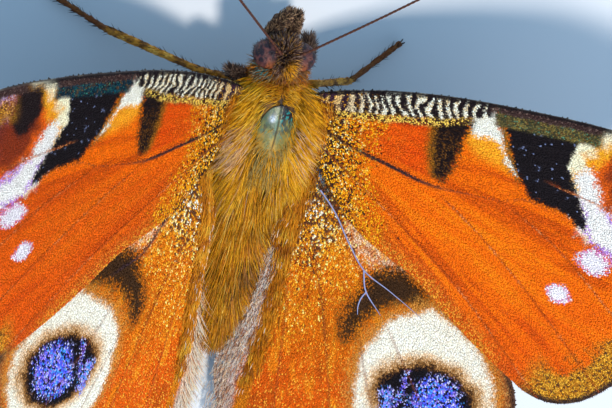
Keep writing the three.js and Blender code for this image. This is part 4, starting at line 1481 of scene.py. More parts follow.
    def eye_ring(self, colours: Array, places: Array, chance: Array) -> Array:
        """The cream ring with soft buff edges.

        Args:
            colours: The colours so far.
            places: The places.
            chance: A random number for each place.

        Returns:
            The colours with it.
        """
        high = 0.6 if self.side is Side.RIGHT else 0.1
        outline = ((5.9, -17.6), (5.8, -15.7), (6.1, -13.8), (7.1, -12.5 + high), (8.3, -11.6 + high),
                   (9.7, -11.0 + high), (11.3, -11.4 + high), (13.2, -12.6 + high), (14.8, -14.1),
                   (15.4, -16.2),
                   (14.9, -18.4), (13.4, -20.0), (11.2, -20.7), (8.8, -20.6), (6.9, -19.6))
        buff = Patch(outline, paint(206, 140, 58), soft=0.45, ragged=0.8)
        colours = buff.lay_on(colours, places, chance)
        ring = smooth_path(np.array(outline), 0.3, closed=True)
        depth = depth_inside(places, ring) + 0.15 * fractal(places, 0.8, 65) + 0.3 * (chance - 0.5)
        return lay(colours, paint(246, 240, 226), smooth(0.3, 0.8, depth))

    def pupil(self, colours: Array, places: Array, chance: Array) -> Array:
        """The black pupil with its blue and violet scales.

        Args:
            colours: The colours so far.
            places: The places.
            chance: A random number for each place.

        Returns:
            The colours with it.
        """
        shift = np.array((0.15, 0.0) if self.side is Side.RIGHT else (0.22, 0.5))
        places = places - shift
        radii = np.array(self.pupil_radii) * (1.0 if self.side is Side.RIGHT else 0.93)
        offset = (places - np.array(self.pupil_centre)) / radii
        ring = np.hypot(*offset.T) + 0.06 * fractal(places, 0.5, 67) + 0.14 * (chance - 0.5)
        colours = lay(colours, paint(214, 158, 84), 0.85 * smooth(1.55, 1.15, ring))
        colours = lay(colours, paint(140, 88, 28), 0.9 * smooth(1.3, 1.08, ring))
        colours = lay(colours, paint(60, 34, 20), smooth(1.14, 1.02, ring))
        colours = lay(colours, paint(16, 10, 18), smooth(1.05, 0.95, ring))
        right = Patch(((10.0, -15.2), (10.9, -14.8), (12.0, -15.0), (12.7, -16.0), (12.6, -17.2),
                       (11.8, -18.0), (10.4, -18.2), (9.6, -17.4), (9.9, -16.2)), paint(80, 96, 244),
                      soft=0.2, ragged=0.7)
        left = Patch(((7.9, -16.6), (8.5, -16.3), (8.7, -17.2), (8.7, -18.4), (8.2, -18.3)),
                     paint(112, 140, 244), soft=0.12, ragged=0.5)
        thread = Patch(((9.0, -15.0), (9.3, -15.1), (9.1, -16.6), (8.9, -17.8), (8.8, -16.6)),
                       paint(100, 90, 220), soft=0.08, ragged=0.4)
        for patch in (right, left, thread):
            share = patch.share(places, chance) * (hashed(np.floor(places / 0.11), 12) > 0.2)
            tint = np.tile(patch.colour, (len(places), 1))
            tint = lay(tint, paint(160, 130, 240), 0.9 * (hashed(np.floor(places / 0.12), 13) > 0.6))
            tint = lay(tint, paint(70, 160, 246), 0.9 * (hashed(np.floor(places / 0.12), 14) > 0.75))
            tint = lay(tint, paint(196, 196, 252), 0.9 * (chance > 0.84))
            colours = lay(colours, tint, share)
        return colours

    def margin(self, colours: Array, places: Array, chance: Array) -> Array:
        """The brown outer margin with a darker edge.

        Args:
            colours: The colours so far.
            places: The places.
            chance: A random number for each place.

        Returns:
            The colours with it.
        """
        s, u = places.T
        depth = depth_inside(places, self.ring)
        outer = smooth(13.0, 15.2, s) * smooth(-11.5, -14.0, u)
        outer = np.maximum(outer, smooth(-19.5, -21.0, u) * smooth(-1.5, 0.5, s))
        width = np.where(u > -18.0, 0.7, 1.6)
        band = smooth(0.35, -0.35, depth - width + 0.3 * fractal(places, 1.2, 69)) * outer
        colours = lay(colours, paint(152, 92, 48), band)
        colours = lay(colours, paint(196, 140, 74), band * (chance > 0.66))
        return lay(colours, paint(70, 44, 34), smooth(0.4, 0.15, depth) * outer)

    def fold(self, colours: Array, places: Array, chance: Array) -> Array:
        """The folded inner margin, silvery pink brown with gold along its crest.

        Args:
            colours: The colours so far.
            places: The places.
            chance: A random number for each place.

        Returns:
            The colours with it.
        """
        s, u = places.T
        inward = self.crest(u) - s
        silver = smooth(0.1, 0.8, inward + 0.25 * fractal(places, 0.8, 73))
        pink = plain(len(s), 236, 198, 180)
        pink = lay(pink, paint(255, 246, 248), (chance > 0.5) * 0.85)
        pink = lay(pink, paint(170, 100, 60), (chance < 0.16) * 0.7)
        pink = lay(pink, paint(160, 96, 56), 0.6 * smooth(-18.5, -20.5, u) + 0.5 * smooth(-8.5, -6.5, u))
        colours = lay(colours, pink, silver)
        crest = smooth(0.6, 0.25, np.abs(inward + 0.05))
        smoothed = lay(plain(len(s), 206, 124, 8), paint(160, 92, 14), 0.6 * (chance < 0.3))
        return lay(colours, smoothed, 0.85 * crest)

    def vein_lines(self, colours: Array, places: Array, chance: Array) -> Array:
        """The veins: faint red-brown lines, and a dark line along the radial vein of the left wing.

        Args:
            colours: The colours so far.
            places: The places.
            chance: A random number for each place, not used.

        Returns:
            The colours with it.
        """
        if self.side is Side.LEFT:
            far, along = path_distance(places, self.lines["radial"])
            dark = smooth(0.12, 0.05, far) * smooth(0.1, 0.2, along) * smooth(0.5, 0.4, along)
            colours = lay(colours, paint(60, 40, 52), 0.8 * dark)
        for name in ("cubital", "cubital2", "anal", "medial"):
            far, along = path_distance(places, self.lines[name])
            line = smooth(0.12, 0.04, far) * smooth(0.15, 0.3, along)
            colours = lay(colours, paint(128, 60, 30), 0.4 * line)
        return colours

    def build(self) -> None:
        """Makes the wing, and the bare pale ribs that show at the base of the right one."""
        super().build()
        if self.side is Side.LEFT:
            return
        for name, start, end in (("radial", 0.1, 0.58), ("medial", 0.0, 0.24), ("cubital", 0.0, 0.16)):
            line = self.lines[name]
            line = line[int(start * len(line)):max(4, int(end * len(line)))]
            line = smooth_path(line, 0.15)
            path = self.on_skin(line[:, 0], line[:, 1], np.full(len(line), 0.07))
            radii = np.interp(np.linspace(0.0, 1.0, len(line)), (0.0, 0.6, 1.0), (0.05, 0.042, 0.012))
            rib = swept_tube(path, radii, 8)
            colour_vertices(rib, plain(len(rib.data.vertices), 146, 152, 196))
            finish_piece(rib, f"{self.node}_{self.side.word}_{name}_rib", HORN)


# Body


@dataclass
class Trunk:
    """The thorax and the abdomen, as smooth forms under the coat."""

    thorax_front: float = 0.95
    thorax_back: float = -4.9
    half_width: float = 1.95
    half_height: float = 2.15
    thorax_z: float = -1.15
    abdomen_front: float = -5.2
    abdomen_back: float = -16.95
    abdomen_radius: float = 1.36
    ring_count: int = 8

    def thorax_swell(self, y: Array) -> Array:
        """The thorax's size along the body, as a share of its fullest."""
        t = (self.thorax_front - y) / (self.thorax_front - self.thorax_back)
        return 0.55 + 0.45 * np.sin(math.pi * np.clip(0.12 + t * 0.86, 0.0, 1.0)) ** 0.7

    def abdomen_axis(self, y: Array) -> Array:
        """The abdomen's middle line.

        Args:
            y: How far forward the points lie.

        Returns:
            The line's points.
        """
        t = (self.abdomen_front - y) / (self.abdomen_front - self.abdomen_back)
        sag = np.sin(math.pi * np.minimum(1.0, np.maximum(t, 0.0) * 1.15) * 0.5)
        return np.stack([0.2 * t, y, -1.45 - 0.85 * sag + 0.4 * t ** 4], axis=-1)

    def abdomen_size(self, y: Array) -> Array:
        """The abdomen's radius along its length.

        Args:
            y: How far forward the points lie.

        Returns:
            One radius for each point.
        """
        t = np.clip((self.abdomen_front - y) / (self.abdomen_front - self.abdomen_back), 0.0, 1.0)
        swell = (0.72 + 0.28 * smooth(0.0, 0.25, t)) * np.sqrt(np.maximum(0.0, 1 - t ** 3.2))
        return self.abdomen_radius * swell

    def on_thorax(self, y: Array, angle: Array, lift: float = 0.0) -> tuple[Array, Array]:
        """Points of the thorax at angles from the top of the back, and the ways straight out there.

        Args:
            y: How far forward the points lie.
            angle: Their angles from the top.
            lift: How far they are raised.

        Returns:
            The points, and the ways straight out there.
        """
        width = self.half_width * self.thorax_swell(y)
        height = self.half_height * self.thorax_swell(y)
        out = unit(np.stack([np.sin(angle) / width, np.zeros_like(y), np.cos(angle) / height], axis=-1))
        place = np.stack([width * np.sin(angle), y, self.thorax_z + height * np.cos(angle)], axis=-1)
        return place + out * lift, out

    def on_abdomen(self, y: Array, angle: Array, lift: float = 0.0) -> tuple[Array, Array]:
        """Points of the abdomen at angles from its top, and the ways straight out there."""
        out = np.stack([np.sin(angle), np.zeros_like(y), np.cos(angle)], axis=-1)
        return self.abdomen_axis(y) + out * (self.abdomen_size(y) + lift)[:, None], out


@dataclass
class Head:
    """The head's form: a narrow capsule between the eyes."""

    centre: tuple[float, float, float] = (0.0, 2.25, -0.75)
    half_width: float = 0.85
    half_length: float = 0.95
    half_height: float = 1.1
    eye_x: float = 1.02
    eye_radii: tuple[float, float, float] = (0.88, 0.86, 0.95)


@dataclass
class BodySkin:
    """One seamless skin over thorax, abdomen and head, ringed along the abdomen."""

    trunk: Trunk
    head: Head
    voxel: float = 0.11

    def build(self) -> bpy.types.Object:
        """Shapes three balls to the body's forms, joins them, and melts them into one skin.

        Returns:
            The piece.
        """
        thorax = self.ball(40, 28)
        shape = unit(vertices_of(thorax))
        span = (self.trunk.thorax_front - self.trunk.thorax_back) / 2 + 0.2
        y = (self.trunk.thorax_front + self.trunk.thorax_back) / 2 + shape[:, 1] * span
        round_in = np.sqrt(np.maximum(1.0 - np.abs(shape[:, 1]) ** 6, 0.0))
        angle = np.arctan2(shape[:, 0], shape[:, 2])
        width = self.trunk.half_width * self.trunk.thorax_swell(y) * round_in
        height = self.trunk.half_height * self.trunk.thorax_swell(y) * round_in
        z = self.trunk.thorax_z + height * np.cos(angle)
        move_vertices(thorax, np.stack([width * np.sin(angle), y, z], axis=-1))
        abdomen = self.ball(32, 60)
        shape = unit(vertices_of(abdomen))
        front, back = self.trunk.abdomen_front + 1.2, self.trunk.abdomen_back
        y = (front + back) / 2 + shape[:, 1] * (front - back) / 2
        angle = np.arctan2(shape[:, 0], shape[:, 2])
        blunt = np.sqrt(np.maximum(1.0 - np.maximum(shape[:, 1], 0.0) ** 8, 0.0))
        t = (self.trunk.abdomen_front - y) / (self.trunk.abdomen_front - back)
        ringed = 1.0 + 0.035 * np.sin(2.0 * math.pi * t * self.trunk.ring_count)
        radius = self.trunk.abdomen_size(y) * blunt * ringed
        around = np.stack([radius * np.sin(angle), np.zeros_like(y), radius * 1.04 * np.cos(angle)], axis=-1)
        move_vertices(abdomen, self.trunk.abdomen_axis(y) + around)
        skull = self.ball(28, 20)
        shape = unit(vertices_of(skull))
        sizes = np.array([self.head.half_width * 1.1, self.head.half_length, self.head.half_height])
        move_vertices(skull, shape * sizes + np.array(self.head.centre))
        neck = self.ball(20, 12)
        shape = unit(vertices_of(neck))
        move_vertices(neck, shape * np.array([0.75, 0.9, 0.8]) + np.array([0.0, 1.3, -0.95]))
        clear_selection()
        for part in (abdomen, skull, neck, thorax):
            part.select_set(True)
        bpy.context.view_layer.objects.active = thorax
        bpy.ops.object.join()
        skin = bpy.context.object
        apply_modifier(skin, "REMESH", mode="VOXEL", voxel_size=self.voxel)
        apply_modifier(skin, "SMOOTH", factor=0.5, iterations=6)
        places = vertices_of(skin)
        colours = plain(len(places), 58, 40, 26)
        colours = lay(colours, paint(120, 82, 30), smooth(0.1, 0.8, fractal(places, 0.8, 81)))
        under = smooth(-2.6, -3.4, places[:, 2])
        colours = lay(colours, paint(38, 28, 24), 0.7 * under)
        face = smooth(1.4, 1.9, places[:, 1])
        colours = lay(colours, paint(50, 34, 30), face)
        colour_vertices(skin, colours)
        move_vertices(skin, on_floor(places))
        bpy.ops.object.shade_smooth()
        return finish_piece(skin, "body_skin", CUTICLE, ("thorax", "abdomen", "head"))

    def ball(self, segments: int, rings: int) -> bpy.types.Object:
        """A ball with its poles fore and aft, to be shaped further.

        Args:
            segments: How many faces it has around it.
            rings: How many it has from pole to pole.

        Returns:
            The ball.
        """
        clear_selection()
        bpy.ops.mesh.primitive_uv_sphere_add(segments=segments, ring_count=rings, radius=1.0)
        piece = bpy.context.object
        x, y, z = vertices_of(piece).T
        move_vertices(piece, np.stack([x, z, -y], axis=-1))
        return piece


@dataclass
class BackPlate:
    """The shining plate on the thorax's back, with a dark groove along its middle."""

    trunk: Trunk
    front: float = -0.2
    back: float = -4.3
    half_angle: float = math.radians(33.0)
    lift: float = 0.05

    def build(self) -> bpy.types.Object:
        """Bends a fine grid onto the back and gives it its thickness and its colours.

        Returns:
            The piece.
        """
        clear_selection()
        bpy.ops.mesh.primitive_grid_add(x_subdivisions=60, y_subdivisions=60, size=2.0)
        piece = bpy.context.object
        across, along, _ = vertices_of(piece).T
        squared = across * np.sqrt(1.0 - 0.5 * along ** 2)
        along = along * np.sqrt(1.0 - 0.5 * across ** 2)
        y = (self.front + self.back) / 2 + along * (self.front - self.back) / 2
        narrow = 0.9 + 0.1 * smooth(-1.0, 0.6, along)
        angle = squared * self.half_angle * narrow
        places, out = self.trunk.on_thorax(y, angle, self.lift)
        groove = np.exp(-((squared / 0.035) ** 2)) * 0.05 * smooth(-0.8, -0.3, along)
        places = places + out * (0.07 * (1.0 - squared ** 2) - groove)[:, None]
        move_vertices(piece, on_floor(places))
        body = np.stack([squared, along], axis=-1)
        colours = plain(len(y), 132, 118, 52)
        blots = fractal(body, 0.35, 91)
        colours = lay(colours, paint(92, 108, 74), smooth(-0.9, 0.6, along + 0.6 * blots) * 0.6)
        teal = smooth(0.15, 0.35, fractal(body, 0.13, 93)) * smooth(-0.3, 0.3, along)
        colours = lay(colours, paint(40, 104, 104), 0.6 * teal)
        dusky = smooth(0.2, 0.4, fractal(body, 0.16, 96)) * smooth(-0.2, 0.4, along)
        colours = lay(colours, paint(36, 34, 40), 0.7 * dusky)
        # Painted light and shade on the plate's front: the olive teal tint and the glint on its left half
        # are lit, the black on its right half is shaded.
        left = smooth(0.3, 0.6, along + 0.3 * blots) * smooth(0.1, -0.1, squared)
        colours = lay(colours, paint(74, 86, 62), 0.8 * left)
        glint = np.exp(-(((squared + 0.36) / 0.16) ** 2) - ((along - 0.6 - 0.1 * blots) / 0.16) ** 2)
        colours = lay(colours, paint(170, 188, 216), 0.8 * glint)
        dark = smooth(0.2, 0.55, along + 0.35 * blots) * smooth(0.0, 0.12, squared)
        colours = lay(colours, paint(18, 16, 22), dark)
        dots = dark * (fractal(body, 0.09, 94) > 0.4) * smooth(0.9, 0.7, along)
        colours = lay(colours, paint(24, 140, 140), dots)
        colours = lay(colours, paint(20, 15, 20), smooth(0.88, 0.97, along))
        colours = lay(colours, paint(166, 124, 40), smooth(0.0, -0.6, along + 0.4 * blots) * 0.85)
        line = np.exp(-((squared / 0.03) ** 2)) * smooth(-0.6, -0.3, along)
        colours = lay(colours, paint(14, 12, 22), line)
        colour_vertices(piece, colours)
        apply_modifier(piece, "SOLIDIFY", thickness=0.08, offset=-1.0)
        bpy.ops.object.shade_smooth()
        return finish_piece(piece, "back_plate", PLATE)


@dataclass
class Coat:
    """The hair of the body, in overlapping hairs that lie back along it."""

    trunk: Trunk
    head: Head
    thorax_count: int = 13800
    abdomen_count: int = 9800
    shoulder_count: int = 5200
    skirt_count: int = 3000
    collar_count: int = 3100
    face_count: int = 6800
    seed: int = 51

    def __post_init__(self) -> None:
        """Seeds the coat's random numbers."""
        self.random = np.random.default_rng(self.seed)

    def build(self) -> None:
        """Makes every part of the coat."""
        self.thorax_hair()
        self.shoulder_hair()
        self.skirt_hair()
        self.collar_hair()
        self.abdomen_hair()
        self.face_hair()

    def bent(self, roots: Array, out: Array, lie: Array, length: Array, lift: Array,
             stations: int = 4) -> Array:
        """Paths of hairs that rise from the skin and bend over to lie along it.

        Args:
            roots: Where the hairs start.
            out: The ways straight out there.
            lie: The ways they come to lie.
            length: How long they are.
            lift: How high they rise.
            stations: How many points each path has.

        Returns:
            The stations of each hair.
        """
        t = np.linspace(0.0, 1.0, stations)[None, :, None]
        length, lift = length[:, None, None], lift[:, None, None]
        rise = lift * (1.0 - (1.0 - np.minimum(t * 1.5, 1.0)) ** 2) - 0.25 * lift * t ** 2 - 0.08
        return roots[:, None] + lie[:, None] * length * t + out[:, None] * rise

    def grown(self, paths: Array, widths: tuple[float, float], colours: Array, y: Array, angle: Array,
              share: Array | float = 1.0) -> Tufts:
        """Hairs along paths in the body's frame.

        Args:
            paths: The stations of each hair.
            widths: The least and the greatest width of a hair.
            colours: The colour of each hair.
            y: How far forward each root lies.
            angle: Each root's angle from the top of the back.
            share: What the widths are multiplied by.

        Returns:
            The hairs.
        """
        width = self.random.uniform(*widths, len(y)) * share
        return strands(on_floor(paths), width, colours, self.unwrap(y, angle))

    def golden(self, places: Array, dark: Array | float) -> Array:
        """Golden olive hair colours in clumps, with browner ones where dark is near 1.

        Args:
            places: The hairs' roots.
            dark: How much browner they are, from 0 to 1.

        Returns:
            A colour for each hair.
        """
        clump = fractal(places, 0.55, 95)
        pick = self.random.random(len(places))
        colours = plain(len(places), 234, 164, 12)
        colours = lay(colours, paint(186, 130, 10), smooth(0.0, 0.8, clump))
        colours = lay(colours, paint(252, 196, 48), 0.8 * smooth(0.1, 0.9, -clump))
        colours = lay(colours, paint(255, 222, 120), 0.6 * (pick > 0.93))
        colours = lay(colours, paint(124, 74, 12), 0.8 * (pick < 0.1 + 0.4 * dark))
        return colours * self.random.uniform(0.82, 1.15, (len(places), 1))

    def unwrap(self, y: Array, angle: Array) -> Array:
        """Places on the body's skin rolled out flat, from 0 to 1.

        Args:
            y: How far forward the points lie.
            angle: Their angles from the top.

        Returns:
            The places on the flat skin.
        """
        low, high = self.trunk.abdomen_back - 0.5, 3.6
        turned = np.stack([angle / (2 * math.pi) + 0.5, (y - low) / (high - low)], axis=-1)
        return UNWRAP_EDGE + UNWRAP_SPAN * turned

    def thorax_hair(self) -> None:
        """The thick hair of the thorax, long at its sides and thin over the shining plate."""
        count = self.thorax_count
        y = self.random.uniform(self.trunk.thorax_back + 0.1, self.trunk.thorax_front - 0.02, count)
        angle = self.random.uniform(-math.pi, math.pi, count)
        spread = np.abs(angle)
        bare = smooth(0.62, 0.38, spread) * smooth(-4.2, -2.0, y) * smooth(0.05, -0.25, y)
        keep = self.random.random(count) > bare * 0.97
        y, angle, spread = y[keep], angle[keep], spread[keep]
        roots, out = self.trunk.on_thorax(y, angle)
        side = np.sign(angle)
        collar = smooth(-0.9, 0.3, y)
        near = smooth(1.2, 0.3, spread) * smooth(-3.6, -2.6, y)
        shoulder = smooth(0.5, 1.0, spread) * smooth(2.0, 1.4, spread)
        lie = np.stack([side * (0.12 + 0.5 * near + 0.75 * collar * near + 0.5 * shoulder),
                        -1.0 + 0.55 * collar * near,
                        0.1 * shoulder - 0.4 * smooth(1.6, 2.4, spread)], axis=-1)
        lie = lie + self.random.normal(0.0, 0.17, lie.shape)
        lie = unit(lie - 0.8 * out * np.sum(lie * out, axis=-1, keepdims=True))
        length = 1.9 * (1.0 - 0.4 * collar) * (1.0 - 0.4 * near) * (1.0 + 0.25 * shoulder)
        length = length * self.random.uniform(0.55, 1.1, len(y)) * (1.0 - 0.35 * smooth(1.9, 2.6, spread))
        length = length * (1.0 - 0.4 * smooth(0.6, 0.3, spread) * smooth(-4.0, -3.0, y))
        lift = 0.4 * self.random.uniform(0.5, 1.2, len(y)) * (1.0 - 0.3 * near)
        paths = self.bent(roots, out, lie, length, lift)
        colours = self.golden(roots, smooth(1.8, 2.6, spread))
        teal = smooth(1.1, 0.6, spread) * smooth(-0.4, -0.9, y) * smooth(-4.6, -2.4, y)
        colours = lay(colours, paint(112, 142, 88), 0.8 * teal * (self.random.random(len(y)) > 0.8))
        colours = lay(colours, paint(184, 90, 8), 0.7 * smooth(-0.2, 0.8, y) * self.random.random(len(y)))
        grey = smooth(0.7, 0.35, spread) * smooth(-1.6, -2.6, y) * smooth(-5.2, -4.4, y)
        colours = lay(colours, paint(150, 144, 98), 0.7 * grey * (self.random.random(len(y)) > 0.45))
        self.split(self.grown(paths, (0.042, 0.068), colours, y, angle, 1.0 - 0.3 * near), "thorax_hair")

    def split(self, tufts: Tufts, name: str, slot: str = "fur") -> None:
        """Builds hairs as pieces that each stay small enough to be exported whole.

        Args:
            tufts: The hairs.
            name: The pieces' name, before their number.
            slot: The record's material slot.
        """
        most = MOST_FACES // len(tufts.faces)
        for number, start in enumerate(range(0, len(tufts.vertices), most), 1):
            chosen = slice(start, start + most)
            part = Tufts(tufts.vertices[chosen], tufts.faces, tufts.colours[chosen], tufts.unwrap[chosen])
            part.build(f"{name}_{number}", HAIR, slot)

    def shoulder_hair(self) -> None:
        """The hair that fans out from the thorax's sides over the roots of the wings."""
        count = self.shoulder_count
        y = self.random.uniform(self.trunk.thorax_back - 0.2, self.trunk.thorax_front - 0.2, count)
        side = np.where(self.random.random(count) > 0.5, 1.0, -1.0)
        angle = side * self.random.uniform(0.6, 1.45, count)
        roots, out = self.trunk.on_thorax(np.maximum(y, self.trunk.thorax_back + 0.1), angle)
        rear = smooth(-2.5, -4.8, y)
        lie = unit(np.stack([side * (0.95 - 0.35 * rear), -0.8 - 0.25 * rear, 0.42 - 0.3 * rear], axis=-1)
                   + self.random.normal(0.0, 0.2, out.shape))
        length = self.random.uniform(1.0, 2.3, count) * (1.0 + 0.25 * rear)
        lift = self.random.uniform(0.1, 0.4, count)
        paths = self.bent(roots, out, lie, length, lift)
        colours = self.golden(roots, 0.1)
        pale = smooth(-0.8, -1.8, y) * (self.random.random(count) > 0.8 - 0.3 * (side < 0))
        colours = lay(colours, paint(222, 186, 164), 0.75 * pale * smooth(-4.2, -3.2, y))
        self.grown(paths, (0.05, 0.08), colours, y, angle).build("shoulder_hair", HAIR, "fur")

    def skirt_hair(self) -> None:
        """The long hair that hangs back from the thorax's rear over the gaps beside the abdomen."""
        count = self.skirt_count
        y = self.random.uniform(-5.6, -2.9, count)
        side = np.where(self.random.random(count) > 0.5, 1.0, -1.0)
        angle = side * self.random.uniform(0.45, 1.5, count)
        roots, out = self.trunk.on_thorax(np.maximum(y, self.trunk.thorax_back + 0.1), angle)
        roots[:, 1] = y
        outward = self.random.normal(0.2, 0.13, count)
        upward = -0.06 + 0.1 * self.random.normal(0.0, 1.0, count)
        lie = unit(np.stack([side * outward, np.full(count, -1.0), upward], axis=-1))
        length = self.random.uniform(1.6, 3.6, count)
        lift = self.random.uniform(0.15, 0.45, count)
        paths = self.bent(roots, out, lie, length, lift, 5)
        colours = self.golden(roots, 0.15)
        colours = lay(colours, paint(208, 168, 140), 0.7 * (self.random.random(count) > 0.93))
        self.grown(paths, (0.045, 0.075), colours, y, angle).build("skirt_hair", HAIR, "fur")

    def collar_hair(self) -> None:
        """The ruff behind the head, rusty with grey and a few teal hairs."""
        count = self.collar_count
        angle = self.random.uniform(-2.2, 2.2, count)
        y = self.random.uniform(0.55, 1.75, count)
        swell = 1.0 - 0.22 * (y - 0.55)
        out = np.stack([np.sin(angle), 0.0 * y, np.cos(angle)], axis=-1)
        roots = np.stack([1.2 * swell * np.sin(angle), y, -1.0 + 1.15 * swell * np.cos(angle)], axis=-1)
        lie = unit(np.stack([0.5 * np.sin(angle), -0.8 + 0.5 * (y - 0.6), 0.1 + 0.0 * y], axis=-1)
                   + self.random.normal(0.0, 0.25, out.shape))
        length = self.random.uniform(0.5, 1.05, count)
        lift = self.random.uniform(0.15, 0.45, count)
        paths = self.bent(roots, out, lie, length, lift)
        pick = self.random.random(count)
        colours = plain(count, 190, 112, 10)
        colours = lay(colours, paint(110, 56, 14), 0.8 * (pick < 0.3))
        colours = lay(colours, paint(228, 160, 30), 0.8 * (pick > 0.8))
        colours = lay(colours, paint(96, 78, 66), 0.8 * smooth(1.0, 1.6, y) * (pick > 0.4))
        teal = smooth(-0.3, -0.9, angle) * smooth(-1.8, -1.2, angle) * smooth(1.0, 1.3, y)
        colours = lay(colours, paint(60, 142, 140), 0.9 * teal * (pick > 0.5))
        self.grown(paths, (0.05, 0.08), colours, y, angle).build("collar_hair", HAIR, "fur")

    def abdomen_hair(self) -> None:
        """The long hair of the abdomen, sparser and shorter towards its tip and below, with dark hairs as
        painted shade between its clumps on the right.
        """
        count = self.abdomen_count
        y = self.random.uniform(self.trunk.abdomen_back + 0.1, self.trunk.abdomen_front + 0.7, count)
        angle = self.random.normal(0.0, 1.15, count)
        angle = np.clip(angle, -math.pi, math.pi)
        roots, out = self.trunk.on_abdomen(y, angle)
        flank = smooth(0.5, 1.1, np.abs(angle)) * smooth(2.1, 1.6, np.abs(angle)) * smooth(-15.5, -12.0, y)
        fan = np.where(angle > 0.0, 0.62 * smooth(0.1, 0.7, angle), 0.36) * smooth(2.1, 1.6, np.abs(angle))
        fan = np.where(angle > 0.0, fan * smooth(-16.0, -13.5, y) * smooth(-6.0, -9.0, y), fan * flank)
        lie = np.stack([fan * np.sign(angle), -np.ones_like(y), 0.14 * flank - 0.05], axis=-1)
        lie = unit(lie + self.random.normal(0.0, 0.1, lie.shape))
        length = np.interp(y, (-17.0, -14.5, -11.0, -6.0), (1.6, 2.0, 2.4, 2.5))
        length = length * self.random.uniform(0.45, 1.1, len(y))
        length = length * (1.0 - 0.5 * smooth(1.6, 2.4, np.abs(angle)))
        lift = 0.34 * self.random.uniform(0.4, 1.2, len(y))
        paths = self.bent(roots, out, lie, length, lift)
        colours = self.golden(roots, 0.3 + 0.5 * smooth(-7.0, -13.0, y))
        colours = lay(colours, paint(216, 120, 8), 0.45 * (self.random.random(len(y)) > 0.5))
        # Painted shade: dark hairs in clumps on the right of the rear abdomen stand for the shaded gaps
        # between clumps.
        gaps = smooth(0.0, 0.35, fractal(roots, 0.9, 98)) * smooth(-7.0, -9.0, y) * smooth(-0.4, 0.2, angle)
        colours = lay(colours, paint(44, 26, 14), 0.85 * gaps * (self.random.random(len(y)) > 0.3))
        tan = smooth(-8.0, -10.0, y) * smooth(0.0, 0.5, angle)
        colours = lay(colours, paint(206, 140, 84), 0.7 * tan * (self.random.random(len(y)) > 0.75))
        self.split(self.grown(paths, (0.042, 0.07), colours, y, angle), "abdomen_hair", "abdomen")

    def face_hair(self) -> None:
        """Short dark bristles all over the head, with a gold tuft between the eyes."""
        count = self.face_count
        shape = unit(self.random.normal(0.0, 1.0, (count, 3)))
        sizes = np.array([self.head.half_width * 1.08, self.head.half_length, self.head.half_height])
        keep = (np.abs(shape[:, 0]) < 0.66) & (shape[:, 1] > -0.75)
        shape = shape[keep]
        roots = shape * sizes + np.array(self.head.centre)
        out = unit(shape / sizes)
        sideways = np.sign(shape[:, 0])[:, None] * np.array([0.2, 0.0, 0.0])
        lie = unit(out * 0.9 + sideways + np.array([0.0, 0.25, 0.3])
                   + self.random.normal(0.0, 0.22, shape.shape))
        length = 0.62 * self.random.uniform(0.5, 1.25, len(roots))
        length = length * (1.0 - 0.3 * smooth(0.2, 0.9, np.abs(shape[:, 0])))
        t = np.linspace(0.0, 1.0, 4)[None, :, None]
        way = out[:, None] * (1.0 - 0.5 * t) + lie[:, None] * 0.5 * t
        paths = roots[:, None] + way * length[:, None, None] * t
        pick = self.random.random(len(roots))
        colours = plain(len(roots), 74, 48, 42)
        colours = lay(colours, paint(168, 138, 122), 0.8 * (pick > 0.6))
        colours = lay(colours, paint(206, 142, 40), 0.75 * (pick > 0.84))
        gold = smooth(0.42, 0.15, np.abs(shape[:, 0] - 0.12)) * smooth(0.1, 0.5, shape[:, 2])
        gold = gold * smooth(0.35, -0.1, shape[:, 1])
        colours = lay(colours, paint(226, 160, 20), 0.9 * gold * (pick > 0.25))
        angle = np.arctan2(shape[:, 0], shape[:, 2])
        self.grown(paths, (0.045, 0.07), colours, roots[:, 1], angle).build("face_hair", HAIR, "face")


class Tone(Enum):
    """The colour of the long hair on a wing."""

    GOLD = "gold"
    SILVER = "silver"


